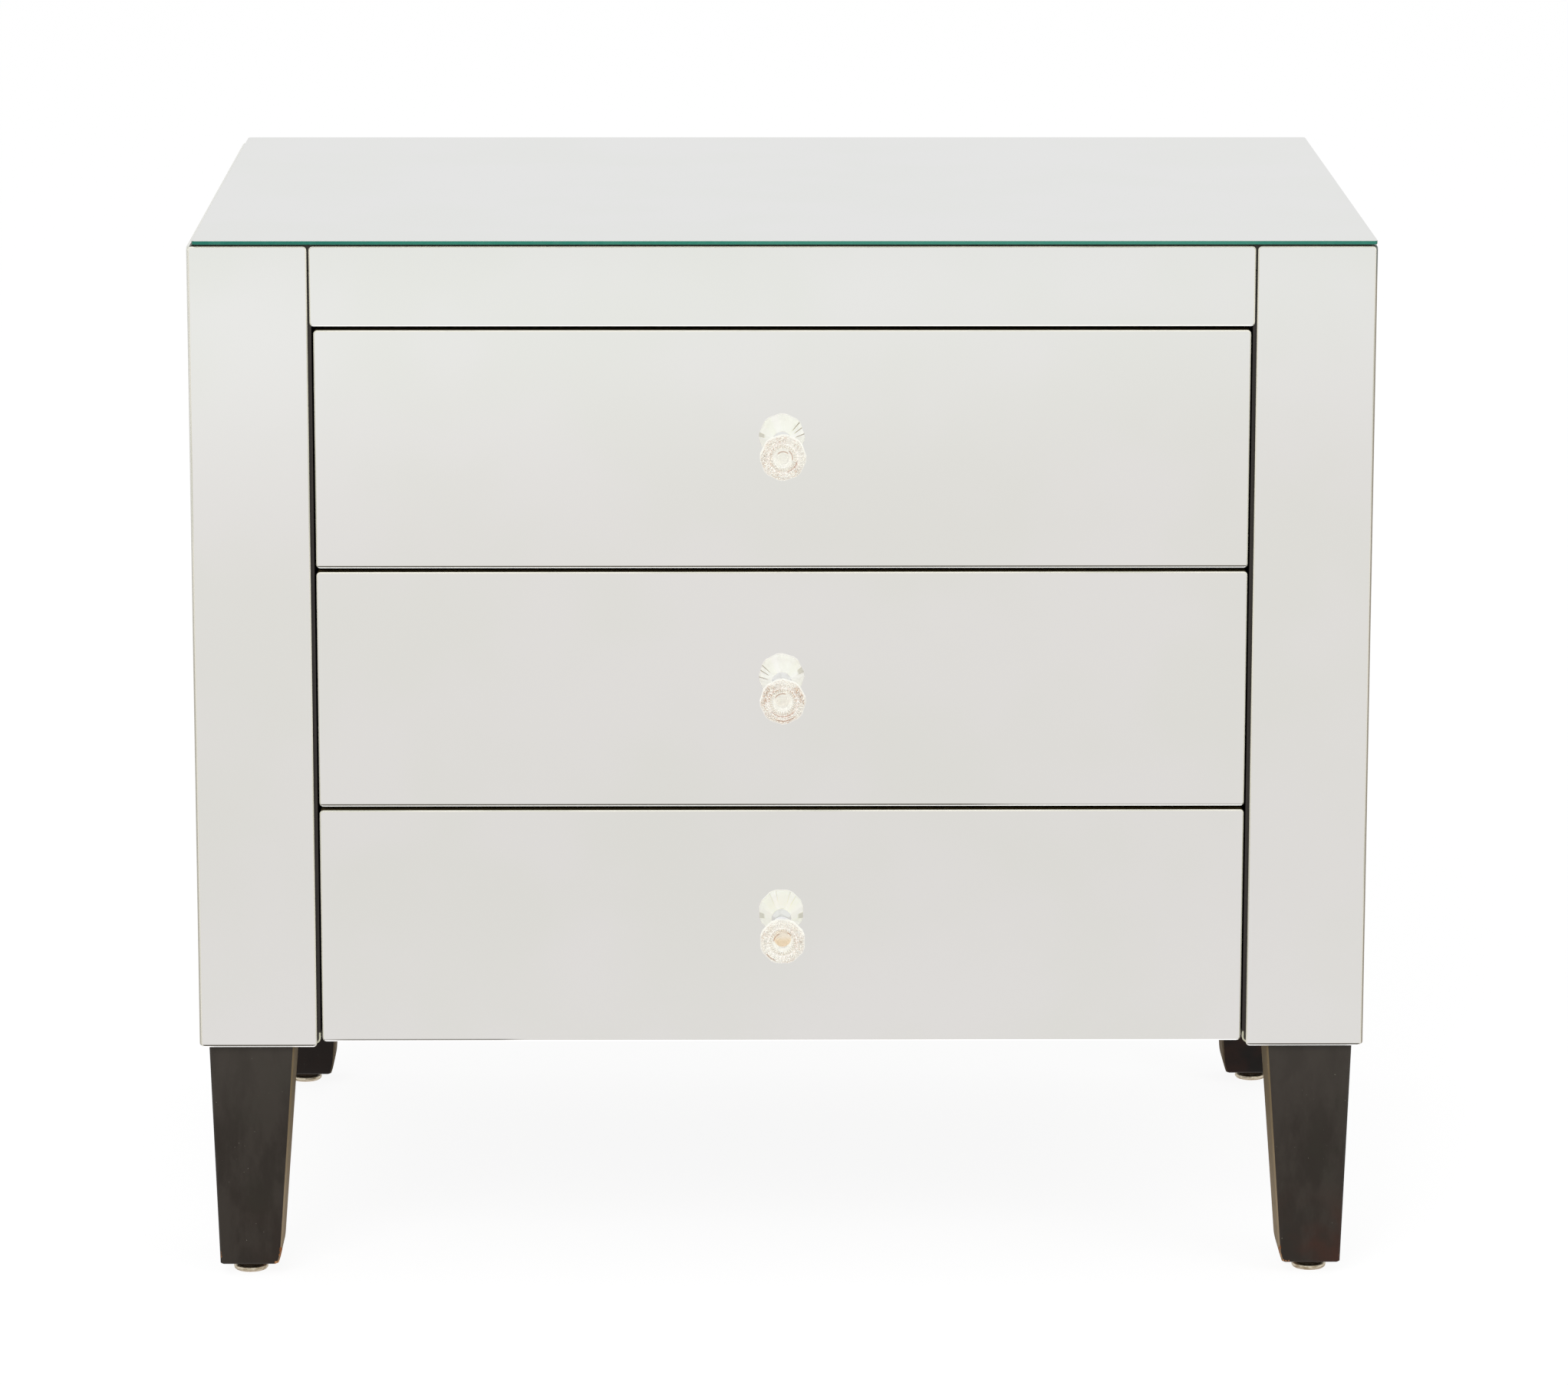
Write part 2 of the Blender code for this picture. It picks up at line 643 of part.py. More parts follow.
def make_box(level, drawer, wood):
    """A drawer's two sides, its back and the bottom that slides into their grooves from behind."""
    groove_low = GROOVE_LIFT
    groove_high = GROOVE_LIFT + BOX_BOTTOM + 2 * SEAT
    outline = [
        (BOX_FACE, 0),
        (BOX_FACE, BOX_HEIGHT),
        (BOX_FACE - BOX_BOARD, BOX_HEIGHT),
        (BOX_FACE - BOX_BOARD, groove_high),
        (BOX_FACE - BOX_BOARD + GROOVE_DEPTH, groove_high),
        (BOX_FACE - BOX_BOARD + GROOVE_DEPTH, groove_low),
        (BOX_FACE - BOX_BOARD, groove_low),
        (BOX_FACE - BOX_BOARD, 0),
    ]
    for side, sign in SIDES.items():
        bm = prism([(sign * x, z) for x, z in outline], BOX_DEPTH, "Y")
        piece(f"{level}_drawer_side_{side}", bm, wood, drawer, (0, INSIDE_FRONT, BOX_LIFT))
    inside = BOX_FACE - BOX_BOARD - SEAT
    back_end = INSIDE_FRONT + BOX_DEPTH - BACK_SETBACK
    board(
        f"{level}_drawer_back",
        (-inside, back_end - BOX_BOARD, BOX_LIFT + groove_high),
        (inside, back_end, BOX_LIFT + BOX_HEIGHT),
        wood,
        drawer,
    )
    in_groove = BOX_FACE - BOX_BOARD + GROOVE_DEPTH - SEAT
    board(
        f"{level}_drawer_bottom",
        (-in_groove, BOARD_BACK - GROOVE_DEPTH + SEAT, BOX_LIFT + groove_low + SEAT),
        (in_groove, back_end, BOX_LIFT + groove_low + SEAT + BOX_BOTTOM),
        wood,
        drawer,
        arris=0,
    )


def knob_ring(out, radius, flatness, tooth=0.0):
    """Points round a knob at a distance out. Flatness 1 is a polygon with its corners off, 0 is round."""
    facet = math.tau / KNOB_FACETS
    ring = []
    for i in range(KNOB_SIDES):
        turn = math.tau * (2 * i + 1) / (2 * KNOB_SIDES)
        from_middle = (turn % facet) - facet / 2
        polygon = math.cos(facet / 2) / math.cos(from_middle)
        reach = radius * (1 + flatness * (polygon - 1))
        ring.append((reach * math.cos(turn), reach * math.sin(turn), out - tooth * (i % 2)))
    return ring


def make_knob(level, drawer, glass, chrome):
    """A pressed glass knob: a faceted cone, an eight sided girdle and a toothed ring round a lens."""
    girdle_end = KNOB_GIRDLE_START + KNOB_GIRDLE
    floor = KNOB_TABLE - KNOB_GROOVE
    rings = [
        knob_ring(KNOB_NECK_START, KNOB_NECK_RADIUS, 0),
        knob_ring(STEM_LENGTH, KNOB_NECK_RADIUS, 0),
        knob_ring(KNOB_GIRDLE_START, KNOB_RADIUS, 1),
        knob_ring(girdle_end, KNOB_RADIUS, 1),
        knob_ring(KNOB_TABLE, KNOB_TABLE_RADIUS, 1),
        knob_ring(floor, KNOB_RING_RADIUS + KNOB_GROOVE, 0),
        knob_ring(KNOB_TABLE, KNOB_RING_RADIUS, 0, KNOB_TOOTH_DEPTH),
        knob_ring(KNOB_TABLE, KNOB_LENS_RADIUS + KNOB_GROOVE, 0, KNOB_TOOTH_DEPTH),
    ]
    for step in range(LENS_STEPS):
        turn = math.pi / 2 * step / LENS_STEPS
        rings.append(
            knob_ring(floor + KNOB_LENS_RISE * math.sin(turn), KNOB_LENS_RADIUS * math.cos(turn), 0)
        )
    middle = (0, 0, FRONT_HEIGHT / 2 + KNOB_RISES[level])
    knob = loft(rings, tip=(0, 0, floor + KNOB_LENS_RISE))
    turn = Matrix.Rotation(math.radians(KNOB_TURNS[level]), 3, "Z")
    bmesh.ops.rotate(knob, cent=(0, 0, 0), matrix=turn, verts=knob.verts[:])
    piece(f"{level}_drawer_knob", outwards(knob), glass, drawer, middle)
    cup = KNOB_NECK_RADIUS + SEAT
    cup_outer = cup + STEM_CUP_WALL
    profile = [
        (0, -BOARD_BACK - STUD_TAIL),
        (STUD_RADIUS, -BOARD_BACK - STUD_TAIL),
        (STUD_RADIUS, SEAT),
        (STEM_FLANGE_RADIUS, SEAT),
        (STEM_FLANGE_RADIUS, SEAT + STEM_FLANGE / 2),
        (STEM_RADIUS, SEAT + STEM_FLANGE),
        (STEM_RADIUS, STEM_LENGTH - STEM_CUP_HEIGHT),
        (cup_outer, STEM_LENGTH - STEM_CUP_HEIGHT / 2),
        (cup_outer, STEM_LENGTH),
        (cup, STEM_LENGTH),
        (cup, STEM_LENGTH - KNOB_SOCKET),
        (0, STEM_LENGTH - KNOB_SOCKET),
    ]
    stem = outwards(turned(profile, TURNED_SIDES))
    piece(f"{level}_drawer_knob_stem", stem, chrome, drawer, middle, smooth_above=40)


def make_drawer(level, number, case, paints):
    height = RAIL_BOTTOM - (number + 1) * (FRONT_HEIGHT + FRONT_GAP)
    drawer = empty(f"{level}_drawer", (0, 0, height), case)
    make_front(level, drawer, paints)
    make_box(level, drawer, paints["drawer_wood"])
    make_slides(level, height, case, drawer, paints["slide"])
    make_knob(level, drawer, paints["knob_glass"], paints["chrome"])


def main():
    clear_scene()
    paints = {
        "case": paint("case_paint", (0.035, 0.028, 0.022), 0.45),
        "back": paint("back_board", (0.05, 0.04, 0.032), 0.6),
        "leg": paint("leg_paint", (0.045, 0.040, 0.032), 0.4),
        "mirror": paint("mirror", (0.76, 0.76, 0.74), 0.03, metallic=1.0),
        "glide": paint("glide_nickel", (0.55, 0.48, 0.38), 0.3, metallic=1.0),
        "drawer_wood": paint("drawer_wood", (0.52, 0.38, 0.24), 0.6),
        "slide": paint("slide_steel", (0.80, 0.79, 0.75), 0.4),
        "knob_glass": paint("knob_glass", (0.97, 0.96, 0.94), 0.02, transmission=1.0),
        "chrome": paint("chrome", (0.82, 0.82, 0.83), 0.08, metallic=1.0),
    }
    case = empty("case", (0, FRONT_Y, 0))
    make_case_boards(case, paints)
    make_case_mirrors(case, paints["mirror"])
    make_legs(case, paints)
    for number, level in enumerate(LEVELS):
        make_drawer(level, number, case, paints)


main()
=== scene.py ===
"""The looks of a mirrored chest of three drawers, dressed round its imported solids.

Everything is in metres, with +Z up and the front facing -Y. The mirrors, boards, legs, glides and slides
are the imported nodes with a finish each. The pressed glass knobs are cut finer here than in the solids, and
the small fixings that hold the knobs and the slides are added.
"""

import math

import bmesh
import bpy
from mathutils import Matrix, Vector


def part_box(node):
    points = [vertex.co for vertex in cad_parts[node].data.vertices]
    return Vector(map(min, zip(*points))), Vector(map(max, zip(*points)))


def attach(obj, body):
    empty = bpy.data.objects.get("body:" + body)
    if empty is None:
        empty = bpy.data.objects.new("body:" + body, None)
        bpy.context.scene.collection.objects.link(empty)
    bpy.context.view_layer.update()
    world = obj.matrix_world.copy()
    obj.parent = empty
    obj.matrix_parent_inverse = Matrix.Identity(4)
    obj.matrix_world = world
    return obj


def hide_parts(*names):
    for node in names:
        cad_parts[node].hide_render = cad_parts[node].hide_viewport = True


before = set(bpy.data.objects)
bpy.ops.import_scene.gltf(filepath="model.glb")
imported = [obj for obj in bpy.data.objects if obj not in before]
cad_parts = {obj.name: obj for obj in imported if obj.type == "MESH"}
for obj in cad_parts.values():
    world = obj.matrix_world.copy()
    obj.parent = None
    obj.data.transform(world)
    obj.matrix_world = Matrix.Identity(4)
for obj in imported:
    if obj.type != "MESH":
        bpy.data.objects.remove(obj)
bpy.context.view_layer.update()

LEVELS = ("top", "middle", "bottom")
SIDES = {"left": -1, "right": 1}
FRONT_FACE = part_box("rail_mirror")[0].y
CASE_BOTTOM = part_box("bottom_panel")[0].z

# The soft edge of most masks, and how near a point has to be to count as on a ring
SOFT = 0.0003
NEAR = 0.0001

# A slant to sort points and faces along, because a spin and a merge leave them in another order on each run
SORT_ALONG = (1.0, 3.1416, 9.8696)

# Camera, as fitted to the photograph
PHOTO_SIZE = (2044, 1806)
CAMERA_PLACE = (-0.0470, -4.7677, 1.3647)
CAMERA_YAW = math.radians(-0.614)
CAMERA_PITCH = math.radians(-11.814)
CAMERA_ROLL = math.radians(-0.069)
CAMERA_FOCAL_PIXELS = 8686
SENSOR_WIDTH = 36

# Room. A mirror shows the floor tinted: near the chest, beyond it, and far out in front
FLOOR_HALF = 14
FLOOR_SHADE_SHARE = 0.2
FLOOR_WHITE = 1.13
SKY_IN_MIRROR = 0.93
FLOOR_NEAR = (0.7081, 0.6867, 0.6875, 1.0)
FLOOR_MIDDLE = (0.6890, 0.6684, 0.6638, 1.0)
FLOOR_FAR = (0.763, 0.763, 0.763, 1.0)
FLOOR_NEAR_FADES = (0.9, 1.6)
FLOOR_FAR_STARTS = (3.0, 5.2)
FLOOR_GREY = (0.92, 0.92, 0.92, 1.0)
KEY_PLACE = (-1.8, -4.8, 3.6)
KEY_SIZE = 3.0
KEY_RADIANCE = 3.6
FILL_PLACE = (3.6, -3.4, 3.0)
FILL_SIZE = 2.6
FILL_RADIANCE = 1.8
LAMP_AIM = (0, 0, 0.4)
SKY_LEVEL = 0.5

# Knobs, measured outwards from the face of the drawer's mirror
KNOB_RADIUS = 0.0166
KNOB_CORNER_SHARE = 0.952
KNOB_NECK_RADIUS = 0.0054
KNOB_NECK_START = 0.0233
KNOB_CONE_START = 0.0255
KNOB_GIRDLE_START = 0.0420
KNOB_CROWN_START = 0.0448
KNOB_TABLE = 0.0474
KNOB_CROWN_RADIUS = 0.0155
KNOB_CROWN_TOP = 0.0466
KNOB_TABLE_RADIUS = 0.0141
KNOB_FAN_RADIUS = 0.0101
KNOB_FLOOR = 0.0465
KNOB_BEAD_OUTER = 0.0093
KNOB_BEAD_INNER = 0.0067
KNOB_BEAD_HEIGHT = 0.0009
KNOB_BEAD_CUT = 0.9
KNOB_LENS_RADIUS = 0.0040
KNOB_LENS_RISE = 0.0006
KNOB_FACETS = 8
KNOB_FLUTES = 24
KNOB_FLUTE_DEPTH = 0.0007
KNOB_BEADS = 32
KNOB_COLUMNS = 192
KNOB_LENS_STEPS = 9
KNOB_TURNS = {"top": 87, "middle": 95.5, "bottom": 67.5}
# Painted reflection: dark lines standing for refracted facet edges, and flats in painted shade
KNOB_REFRACTED_LINES = {"top": (39, 24, 7), "middle": (150, 164, -178), "bottom": (122, 104, 66, 48)}
KNOB_REFRACTED_LINE_DEPTH = {"top": 1.0, "middle": 0.9, "bottom": 0.3}
KNOB_REFLECTED_SPECKLE = {"top": 0.8, "middle": 1.0, "bottom": 0.7}
KNOB_SHADES = {"top": (176,), "middle": (18,), "bottom": (-8, -172)}
KNOB_SHARP_ABOVE = math.radians(14)
KNOB_CELLS = 2600.0

# Painted reflection of the stem behind, as each knob's glass picks it up: a tan heart of a given strength, and arcs
# of brown, each with its radius, middle angle and half width in degrees
KNOB_HEART_LIFT = 0.0030
KNOB_HEART_RADIUS = 0.0064
KNOB_HEARTS = {"top": 0.0, "middle": 0.08, "bottom": 0.8}
KNOB_ARCS = {
    "top": ((0.0046, 92, 62), (0.0064, 20, 40), (0.0098, -42, 36)),
    "middle": ((0.0102, -88, 62), (0.0060, 110, 50), (0.0130, -80, 40)),
    "bottom": ((0.0062, 142, 40), (0.0076, 52, 16), (0.0136, -128, 20)),
}

# The cup in each stem that holds the neck, measured outwards like the knob
CUP_START = 0.0224
CUP_RADIUS = 0.0059
CUP_FLOOR = 0.0226
CUP_FLOOR_RADIUS = 0.0051

# Painted reflection: the ground edge seen through the glass is painted on as this grey line
# The thin grey line over a mirror's lower arris: the height of its top, and for each drawer how strong it is at the
# left end, and then each change along it, as where it starts, where it ends and by how much
LOWER_LINE_TOP = 0.0019
LOWER_LINES = {
    "top": (1.0,),
    "middle": (1.0, (0.12, 0.18, -0.7)),
    "bottom": (0.0, (-0.335, -0.300, 0.7), (-0.200, -0.175, -0.7)),
}

# The lower inner corner of each post, as it is rounded in the solid, and how far its painted highlight reaches in,
# up and across
POST_ROUND = 0.004
POST_HIGHLIGHT = 0.0014
POST_HIGHLIGHT_HEIGHT = 0.0085
POST_HIGHLIGHT_WIDTH = 0.0065

# Legs: their taper, as in the solids, how far the wear reaches from their edges, how red each side's toes are, and
# how dark each pair stands under the case
LEG_OUTER_TAPER = 0.005
LEG_INNER_TAPER = 0.0122
EDGE_WEAR = 0.0035
TOE_WARMTH = {"left": 0.15, "right": 0.9}
LEG_SHADE = {"front": 0.0, "rear": 0.8}

# Rollers in the slides: half the gap that each turns in, its distance from the slide's end, and where it starts and
# ends across the slide
ROLLER_CLEAR = 0.0093
ROLLER_SETBACK = 0.012
ROLLER_START = 0.0014
ROLLER_END = 0.0081

# Brads along the back board's edges
BRAD_RADIUS = 0.0021
BRAD_PITCH = 0.096
BRAD_MARGIN = 0.010

# Fixings
NUT_FLATS = 0.0070
NUT_HEIGHT = 0.0032
NUT_ARRIS = 0.0005
WASHER_RADIUS = 0.0065
WASHER_THICK = 0.0010
WASHER_SIDES = 28
FIXING_SHARP_ABOVE = math.radians(30)
SCREW_HEAD = 0.0034
SCREW_RISE = 0.0011
SCREW_RECESS = 0.0007
SCREW_SIDES = 16
SCREW_DOME = ((0.93, 0.45), (0.72, 0.85), (0.5, 1.0))
SCREW_CROSS = (0.92, 0.55, 0.36, 0.55)
SCREW_SHARP_ABOVE = math.radians(35)
SCREW_SPACING = (0.035, 0.225, 0.415)
SLIDE_STEEL = 0.0012
CASE_SCREW_RAISE = 0.006
DRAWER_SCREW_INSET = 0.0045
DRAWER_SCREW_DROP = 0.0015
FRONT_BOARD_BACK = 0.0213


def srgb(red, green, blue):
    """A colour as it is read off a screen, from 0 to 255, as the linear colour that a node takes."""
    linear = [((part / 255 + 0.055) / 1.055) ** 2.4 for part in (red, green, blue)]
    return (*linear, 1.0)


BLACK = (0.0, 0.0, 0.0, 1.0)
WHITE = (1.0, 1.0, 1.0, 1.0)
SILVER = (srgb(246, 247, 242), srgb(248, 248, 245))
TOP_SILVER = (srgb(248, 249, 245), srgb(250, 250, 248))
CASE_BROWN = (srgb(50, 44, 36), srgb(62, 56, 46))
POST_BROWN = (srgb(38, 32, 26), srgb(48, 41, 34))

# How squarely glass faces along its mirror's axis where the broad face starts, and where it is all face
FLAT = (0.93, 0.97)

# The ground edges of the side mirrors, as seen from the front: between which heights they change, and from which
# colour to which
SIDE_EDGES = {
    "left": (0.42, 0.58, srgb(202, 199, 186), srgb(238, 238, 230)),
    "right": (0.700, 0.725, srgb(174, 166, 150), srgb(128, 134, 128)),
}


class Wire:
    """A number on its way between nodes. Arithmetic on wires adds the Math nodes that work it out."""

    def __init__(self, paint, socket):
        self.paint = paint
        self.socket = socket

    def maths(self, operation, *values):
        return self.paint.node("ShaderNodeMath", {"operation": operation}, dict(enumerate(values)))

    def __add__(self, other):
        return self.maths("ADD", self, other)

    def __sub__(self, other):
        return self.maths("SUBTRACT", self, other)

    def __mul__(self, other):
        return self.maths("MULTIPLY", self, other)

    def __rsub__(self, other):
        return self.maths("SUBTRACT", other, self)

    __radd__ = __add__
    __rmul__ = __mul__

    def size(self):
        return self.maths("ABSOLUTE", self)

    def least(self, other):
        return self.maths("MINIMUM", self, other)

    def most(self, other):
        return self.maths("MAXIMUM", self, other)

    def rise(self, low, high):
        """0 below low and 1 above high, with a soft slope between. It falls if low is the higher."""
        return self.paint.node(
            "ShaderNodeMapRange",
            {"interpolation_type": "SMOOTHSTEP"},
            {"Value": self, "From Min": low, "From Max": high},
        )

    def other(self, output):
        return Wire(self.paint, self.socket.node.outputs[output])


class Paint:
    """A finish under construction: the node tree of a material or of the world."""

    def __init__(self, tree):
        self.tree = tree

    def join(self, socket, value):
        if isinstance(value, Wire):
            self.tree.links.new(value.socket, socket)
        else:
            socket.default_value = value

    def node(self, kind, settings, sockets, output=0):
        """Adds a node: its settings first, then its sockets. Returns one of its outputs."""
        made = self.tree.nodes.new(kind)
        for name, value in settings.items():
            setattr(made, name, value)
        for name, value in sockets.items():
            self.join(made.inputs[name], value)
        return Wire(self, made.outputs[output])

    def blend(self, under, over, share):
        return self.node("ShaderNodeMix", {"data_type": "RGBA"}, {0: share, 6: under, 7: over}, 2)

    def place(self):
        return self.node("ShaderNodeTexCoord", {}, {}, "Object")

    def parts(self, vector):
        across = self.node("ShaderNodeSeparateXYZ", {}, {0: vector}, "X")
        return across, across.other("Y"), across.other("Z")

    def normal(self):
        return self.parts(self.node("ShaderNodeNewGeometry", {}, {}, "Normal"))

    def stretched(self, scale, shift=(0, 0, 0)):
        """Object coordinates with a pattern's scale on each axis."""
        return self.node("ShaderNodeMapping", {}, {"Vector": self.place(), "Scale": scale, "Location": shift})

    def noise(self, vector, scale, detail=3.0, roughness=0.55, distortion=0.0):
        return self.node(
            "ShaderNodeTexNoise",
            {"noise_dimensions": "3D"},
            {
                "Vector": vector,
                "Scale": scale,
                "Detail": detail,
                "Roughness": roughness,
                "Distortion": distortion,
            },
        )

    def bump(self, height, strength, distance):
        return self.node(
            "ShaderNodeBump", {}, {"Height": height, "Strength": strength, "Distance": distance}
        )


def distance(across, along):
    """How far a point is from a centre, from its two offsets."""
    return across.maths("SQRT", across * across + along * along)


class Finish(Paint):
    """A material with one Principled shader."""

    def __init__(self, name):
        self.material = bpy.data.materials.new(name)
        self.material.use_nodes = True
        super().__init__(self.material.node_tree)
        self.shader = self.tree.nodes["Principled BSDF"]

    def set(self, **sockets):
        for name, value in sockets.items():
            self.join(self.shader.inputs[name.replace("_", " ")], value)
        return self.material


def mirror_finish(node, axis, lower_line=(0.0,), edge=None):
    """Silvered glass. Its broad faces look along one axis, and the arris and the ground edge lie round them.

    Above the lower arris the ground edge, as seen through the glass, is painted on as a thin grey line: a painted
    reflection.
    """
    look = Finish(f"silvered_{node}")
    normal = look.normal()
    facing = normal[axis].size()
    face = facing.rise(*FLAT)
    arris = facing.rise(0.25, 0.5)
    place = look.place()
    x, _, z = look.parts(place)
    drift = look.noise(place, 9, 2)
    smear = look.noise(look.stretched((3, 3, 1.2)), 5, 4, 0.6).rise(0.58, 0.78)
    speck = look.noise(place, 900, 1).rise(0.79, 0.83)
    silver = look.blend(*SILVER, drift.rise(0.35, 0.65))
    silver = look.blend(silver, srgb(252, 252, 250), speck * 0.5)
    # Painted reflection: the ground edge seen through the glass, painted as a grey line above the lower arris
    line_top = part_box(node)[0].z + LOWER_LINE_TOP
    line = z.rise(line_top, line_top - SOFT) * line_strength(x, lower_line)
    silver = look.blend(silver, srgb(104, 100, 90), line)
    # Painted highlight: the downward arris is painted white and made to glow a little
    glowing_lower_arris = (normal[2] * -1).rise(0.5, 0.65) * arris
    if edge is None:
        ground = look.blend(srgb(252, 249, 236), srgb(228, 227, 212), drift.rise(0.45, 0.7))
        ground = look.blend(ground, WHITE, glowing_lower_arris)
        tint = look.blend(srgb(96, 108, 94), srgb(168, 166, 148), drift.rise(0.4, 0.55))
    else:
        lower_end, upper_end, lower_tone, upper_tone = edge
        ground = look.blend(lower_tone, upper_tone, z.rise(lower_end, upper_end))
        tint = ground
    colour = look.blend(look.blend(tint, ground, arris), silver, face)
    upwards = normal[2].rise(0.8, 0.95)
    return look.set(
        Base_Color=colour,
        Metallic=(arris * 0.6).most(upwards * 0.7).most(face),
        Roughness=(1 - face) * 0.2 + face * smear * 0.03 + 0.012,
        Emission_Color=look.blend(BLACK, (1.0, 1.0, 0.98, 1.0), glowing_lower_arris * (1 - face)),
        Emission_Strength=0.55,
    )


def line_strength(x, line):
    """How strong a mirror's painted grey line, a painted reflection, is along its lower edge, as LOWER_LINES gives
    it.
    """
    strength, *changes = line
    for start, end, step in changes:
        strength = x.rise(start, end) * step + strength
    return strength


def top_glass():
    """The top sheet: silver above, a white upper arris as painted highlight, a green edge, and a darker lower arris
    as painted shade.
    """
    look = Finish("silvered_top_mirror")
    up = look.normal()[2]
    face = up.size().rise(*FLAT)
    highlit_upper_arris = up.rise(0.3, 0.5)
    shaded_lower_arris = up.rise(-0.3, -0.5)
    place = look.place()
    x = look.parts(place)[0]
    silver = look.blend(*TOP_SILVER, look.noise(place, 9, 2).rise(0.35, 0.65))
    green = look.blend(srgb(12, 118, 99), srgb(32, 130, 108), x.rise(-0.31, -0.25))
    green = look.blend(green, srgb(52, 139, 118), x.rise(-0.05, 0.0))
    green = look.blend(green, srgb(36, 128, 108), x.rise(0.30, 0.345))
    waver = look.noise(look.stretched((30, 1, 1)), 3)
    green = look.blend(green, srgb(74, 148, 128), waver.rise(0.5, 0.7) * 0.25)
    # Painted highlight on the upper arris, and painted shade on the lower arris
    colour = look.blend(look.blend(green, srgb(30, 100, 82), shaded_lower_arris), srgb(246, 242, 240), highlit_upper_arris)
    return look.set(
        Base_Color=look.blend(colour, silver, face),
        Metallic=(highlit_upper_arris * 0.7).most(face),
        Roughness=(1 - face) * 0.2 + 0.012,
        Specular_Tint=(0.86, 0.86, 0.86, 1.0),
    )


def satin_paint(name, dark, light, roughness=0.34):
    """Black-brown satin paint on board. Returns the finish, its colour before any wear, and its fine grain."""
    look = Finish(name)
    cloud = look.noise(look.place(), 22, 4)
    fine = look.noise(look.stretched((90, 90, 30)), 6, 3)
    look.set(Roughness=cloud * 0.16 + roughness, Normal=look.bump(fine, 0.12, 0.0004))
    return look, look.blend(dark, light, cloud.rise(0.35, 0.65)), fine


def case_paint():
    """The satin paint, rubbed a little in spots."""
    look, colour, fine = satin_paint("case_paint_satin", *CASE_BROWN)
    return look.set(Base_Color=look.blend(colour, srgb(84, 76, 62), fine.rise(0.62, 0.8) * 0.5))


def front_board_paint():
    """The satin paint on a drawer's front board, painted lighter and browner on its upward faces as painted light.
    """
    look, colour, fine = satin_paint("front_board_paint", *CASE_BROWN, 0.4)
    # Painted light: the upward faces are painted lighter and browner, as if lit from above
    top = look.blend(srgb(104, 92, 62), srgb(124, 110, 76), fine)
    return look.set(Base_Color=look.blend(colour, top, look.normal()[2].rise(0.5, 0.9)))


def post_paint():
    """The satin paint on the posts, painted pale as a highlight where the lower inner corner is rounded."""
    look, colour, _ = satin_paint("post_paint_highlight", *POST_BROWN)
    x, _, z = look.parts(look.place())
    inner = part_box("post_right")[0].x
    from_side = (inner + POST_ROUND - x.size()).most(0)
    from_foot = (CASE_BOTTOM + POST_ROUND - z).most(0)
    # Painted highlight: the rounded lower inner corner is painted pale, standing for light off the round
    edge_mark = distance(from_side, from_foot).rise(POST_ROUND - POST_HIGHLIGHT, POST_ROUND - POST_HIGHLIGHT + 0.0005)
    edge_mark = edge_mark * z.rise(CASE_BOTTOM + POST_HIGHLIGHT_HEIGHT, CASE_BOTTOM + POST_HIGHLIGHT_HEIGHT - 0.001)
    edge_mark = edge_mark * x.size().rise(inner + POST_HIGHLIGHT_WIDTH, inner + POST_HIGHLIGHT_WIDTH - 0.002)
    return look.set(Base_Color=look.blend(colour, srgb(222, 220, 194), edge_mark))


def back_finish():
    """The thin back board: dark, matt and fibrous, with the heads of its brads driven in along its edges."""
    look = Finish("back_board_matt")
    place = look.place()
    x, _, z = look.parts(place)
    fibre = look.noise(look.stretched((60, 60, 8)), 8, 5, 0.65)
    cloud = look.noise(place, 5, 3)
    colour = look.blend(srgb(58, 50, 41), srgb(74, 65, 54), cloud.rise(0.35, 0.65))
    colour = look.blend(colour, srgb(92, 82, 68), fibre.rise(0.6, 0.8) * 0.6)
    head = brad_heads(x, z)
    colour = look.blend(colour, srgb(176, 170, 158), head)
    return look.set(
        Base_Color=colour,
        Roughness=0.72 - head * 0.35,
        Metallic=head * 0.9,
        Normal=look.bump(fibre + head * 0.8, 0.25, 0.0005),
    )


def brad_heads(x, z):
    """A mask with one dot for each brad, along the back board's four edges."""
    low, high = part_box("back_panel")
    middle_x = (low.x + high.x) / 2
    middle_z = (low.z + high.z) / 2
    row_x = (high.x - low.x) / 2 - BRAD_MARGIN
    row_z = (high.z - low.z) / 2 - BRAD_MARGIN

    def off(along, pitch):
        return along.maths("PINGPONG", along, pitch / 2)

    def dot(across, along):
        return distance(across, along).rise(BRAD_RADIUS, BRAD_RADIUS * 0.7)

    from_x = (x - middle_x).size() - row_x
    from_z = (z - middle_z).size() - row_z
    sides = dot(from_x, off(z - low.z - BRAD_MARGIN, BRAD_PITCH))
    ends = dot(from_z, off(x - middle_x, BRAD_PITCH))
    return sides.most(ends)


